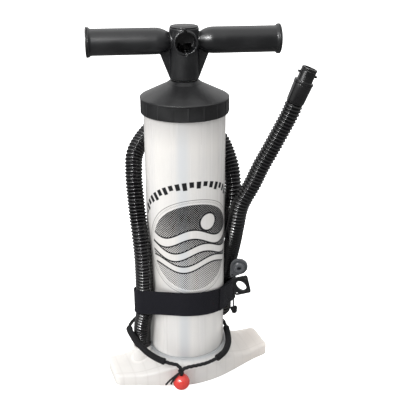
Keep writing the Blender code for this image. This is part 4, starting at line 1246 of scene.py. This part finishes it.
def make_round_adaptor(surface):
    """Flanged ring with a raised bead round its rim, a stepped spigot towards the front and a tether lug."""
    lug = (-9.8, -14.4)
    flange = prism(convex_hull(circle_points(13, 96) + circle_points(3.5, 48, lug)), -1.5, 1.0)
    flange = softened(difference(flange, cylinder(1.8, -8, 8, 32, lug)), 0.4, 3)
    spigot = lathe([
        (0, -0.4), (5.5, -0.4), (5.5, -4, 0.3), (8.2, -4, 0.5), (8.2, 5.2, 0.4), (7.4, 5.8, 0.4),
        (6.9, 7.5, 0.9), (3.7, 7.5, 0.5), (3.2, 6.6, 0.3), (3.2, 0.6), (0, 0.6),
    ], 4, 96)
    rim = lathe([(10.6, 0), (12.7, 0), (12.7, 2.1, 0.8), (11.0, 2.1, 0.7)], 4, 96)
    body = moved(union(flange, spigot, rim), adaptor_frame(ROUND_ADAPTOR_PLACE, 0))
    piece("valve_adaptor_round", body, surface, "adaptor_round", sharp=40)


def make_square_adaptor(surface):
    """Rounded plate with a raised lip round its slanted oval hole, corner bosses and an eye."""
    wide, tall, corner = 9, 11.3, 3.2
    places = [(-wide, -tall), (wide, -tall), (wide, tall), (-wide, tall)]
    rim = [point for place in places for point in circle_points(corner, 32, place)]
    plate = prism(convex_hull(rim), -2.4, 1.2)
    tilt = spin(math.radians(26), "Z")
    lip = moved(cylinder(1, -2.3, 2.4, 96), tilt @ Matrix.Diagonal((7.6, 11.3, 1, 1)))
    hole = moved(cylinder(1, -9, 9, 96), tilt @ Matrix.Diagonal((5.9, 9.6, 1, 1)))
    bosses = [cylinder(2.6, -2.2, 2.3, 32, place) for place in (places[2], places[3], places[1])]
    eyes = [cylinder(1.5, -9, 9, 32, places[0]), cylinder(1.2, -9, 9, 24, places[2])]
    body = softened(difference(union(plate, lip, *bosses), hole, *eyes), 0.35, 2)
    body = moved(body, adaptor_frame(SQUARE_ADAPTOR_PLACE, 13))
    piece("valve_adaptor_square", body, surface, "adaptor_square", sharp=40)


def make_tether(cord):
    stations = [
        (74.4, -22, 94), (73.4, -21.5, 101.2), (73.2, -21, 112), (73.4, -21.5, 124), (73.8, -22.5, 137),
        (74.2, -24, 150), (74.4, -25, 160),
    ]
    points = [polar(*station) for station in stations]
    make_cord("tether_line", evenly(smooth_path(points, 2), 0.6), 1.3, 0.2, 4, 12, cord, "adaptor_tether")
    turn = shift(*points[0]) @ spin(math.radians(50), "X")
    make_cord("tether_knot", knot_path(turn, 1.45, 120), 2.3, 0.3, 5, 12, cord, "tether_toggle")


# ---- outlet spring


def make_spring(surface):
    """The coil under the outlet disc, as long as the CAD spring; the real coil shortens as the disc goes
    down.
    """
    wire, turns, steps = 0.5, 4, 40
    coil = (SPRING_HIGH.x - SPRING_LOW.x) / 2 - wire
    length, travel = SPRING_HIGH.z - SPRING_LOW.z, 3
    path = []
    for step in range(turns * steps + 1):
        height = SPRING_LOW.z + wire + (length - 2 * wire) * step / (turns * steps)
        path.append(polar(coil, 360 * step / steps, height))
    spring = piece("outlet_coil", swept(path, wire, 12), surface, "outlet_valve_spring", sharp=60)
    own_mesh(spring)


# ---- stage


def make_world():
    """White for the camera. For everything else: bright behind the pump and to its left, dim in front."""
    world = bpy.data.worlds.new("studio")
    bpy.context.scene.world = world
    n = Nodes(world)
    direction = n.add("TexCoord").outputs["Generated"]
    total = WORLD_BASE
    for axis, start, end, gain in WORLD_SIDES:
        along = n.add("VectorMath", {0: direction, 1: axis}, operation="DOT_PRODUCT").outputs["Value"]
        total = n.plus(n.smooth(along, start, end, 0.0, gain), total)
    rays = n.add("LightPath").outputs["Is Camera Ray"]
    strength = n.add("Mix", {"Factor": rays, "A": total, "B": 1.0}).outputs["Result"]
    background = n.tree.nodes["Background"]
    n.set(background.inputs["Color"], (1, 1, 1))
    n.set(background.inputs["Strength"], strength)


def area_light(name, place, aim, size, power):
    data = bpy.data.lights.new(name, "AREA")
    data.size = size
    data.energy = power
    lamp = link(name, data)
    lamp.location = place
    lamp.rotation_euler = (Vector(aim) - Vector(place)).to_track_quat("-Z", "Y").to_euler()
    return lamp


def make_stage():
    """Plain pale floor, white surroundings for the camera, and soft light from the upper left."""
    mesh = bpy.data.meshes.new("floor")
    corners = [(x * FLOOR_REACH, y * FLOOR_REACH, 0) for x, y in ((-1, -1), (1, -1), (1, 1), (-1, 1))]
    mesh.from_pydata(corners, [], [range(4)])
    floor = link("floor", mesh)
    floor.location.z = FLOOR_Z
    n = nodes_of("floor_paper")
    rays = n.add("LightPath").outputs
    mesh.materials.append(n.look(
        colour=n.mix(rays["Is Glossy Ray"], (0.93, 0.93, 0.93), (0.16, 0.16, 0.16)),
        rough=n.smooth(n.noise(60.0), 0.2, 0.8, 0.85, 0.95),
        shine=0.0,
        glow=(1.0, 1.0, 1.0),
        glow_strength=n.times(rays["Is Camera Ray"], 0.75),
    ))
    make_world()
    area_light("key", (-1.6, -0.75, 1.45), (0, 0, 0.22), 0.9, 27.0)
    sheen = area_light("sheen", (-1.05, -1.2, 1.35), (0, 0, 0.36), 0.4, 2.8)
    sheen.data.spread = math.radians(40)
    sheen.visible_diffuse = False
    sheen.visible_transmission = False


def make_camera():
    data = bpy.data.cameras.new("camera")
    data.lens = CAMERA_LENS
    data.sensor_width = CAMERA_SENSOR
    camera = link("camera", data)
    camera.location = CAMERA_PLACE
    camera.rotation_euler = (QUARTER - CAMERA_PITCH, 0, -CAMERA_HEADING)
    bpy.context.scene.camera = camera
    bpy.context.scene.view_settings.view_transform = "Standard"


# ---- assembly


def finish_cad(surface, *nodes):
    """Gives inner CAD nodes that are shown as they are their material."""
    for node in nodes:
        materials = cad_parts[node].data.materials
        materials.clear()
        materials.append(surface)


def build():
    worn_black = (0.026, 0.027, 0.029)
    black = moulded("black_plastic", (0.005, 0.0052, 0.006), worn_black, 0.38)
    grips = moulded("black_grips", (0.006, 0.0063, 0.0073), worn_black, 0.34)
    gloss = ribbed_gloss("hose_plastic", (0.003, 0.003, 0.0034), (0.022, 0.022, 0.023), 0.17)
    fitting = moulded("fitting_plastic", (0.005, 0.005, 0.0055), (0.02, 0.02, 0.021), 0.2, grain=1800.0)
    grey = moulded("grey_plastic", (0.075, 0.08, 0.088), (0.16, 0.165, 0.17), 0.36)
    red = moulded("red_plastic", (0.66, 0.045, 0.035), (0.70, 0.08, 0.065), 0.34, grain_depth=0.06, coat=0.25)
    acetal = moulded("acetal", (0.70, 0.70, 0.68), (0.78, 0.78, 0.76), 0.38)
    black_rubber = rubber("black_rubber", (0.016, 0.016, 0.017))
    blue_rubber = rubber("gasket_rubber", (0.33, 0.38, 0.44))
    alloy = brushed_metal("rod_alloy", (0.80, 0.81, 0.82), 0.28, ROD_BORE + 0.1)
    steel = brushed_metal("steel", (0.62, 0.62, 0.63), 0.30)
    webbing = woven("strap_webbing", (0.0035, 0.0035, 0.006), (0.012, 0.012, 0.018), 0.7, 0.35)
    cord = woven("cord_braid", (0.005, 0.005, 0.0055), (0.028, 0.028, 0.03), 0.42, 0.3)
    sleeve = woven("sleeve_fabric", (0.005, 0.005, 0.0055), (0.018, 0.018, 0.02), 0.9, 0.25)
    thread = woven("strap_thread", (0.02, 0.02, 0.024), (0.06, 0.06, 0.065), 2.0, 0.1, 0.5)
    milky = milky_plastic("milky_plastic")

    make_footplate(milky)
    make_barrel(barrel_plastic("barrel_plastic"))
    make_cap(black)
    make_rod(alloy)
    make_handle(grips)
    make_crown(black)
    make_plugs(black)
    make_screw(steel)
    make_hose(gloss)
    make_base_plug(fitting, black_rubber)
    make_hose_end(fitting, black_rubber)
    make_strap(webbing, thread)
    make_leash(cord, sleeve)
    make_knot_and_ball(cord, red)
    make_round_adaptor(grey)
    make_square_adaptor(black)
    make_tether(cord)
    make_spring(steel)
    finish_cad(milky, "duct_cover")
    finish_cad(blue_rubber, "barrel_gasket")
    finish_cad(acetal, "rod_bush", "piston_body", "piston_retainer")
    finish_cad(black_rubber, "piston_seal", "rod_bumper", "intake_valve_disc", "outlet_valve_disc")
    make_stage()
    make_camera()


build()
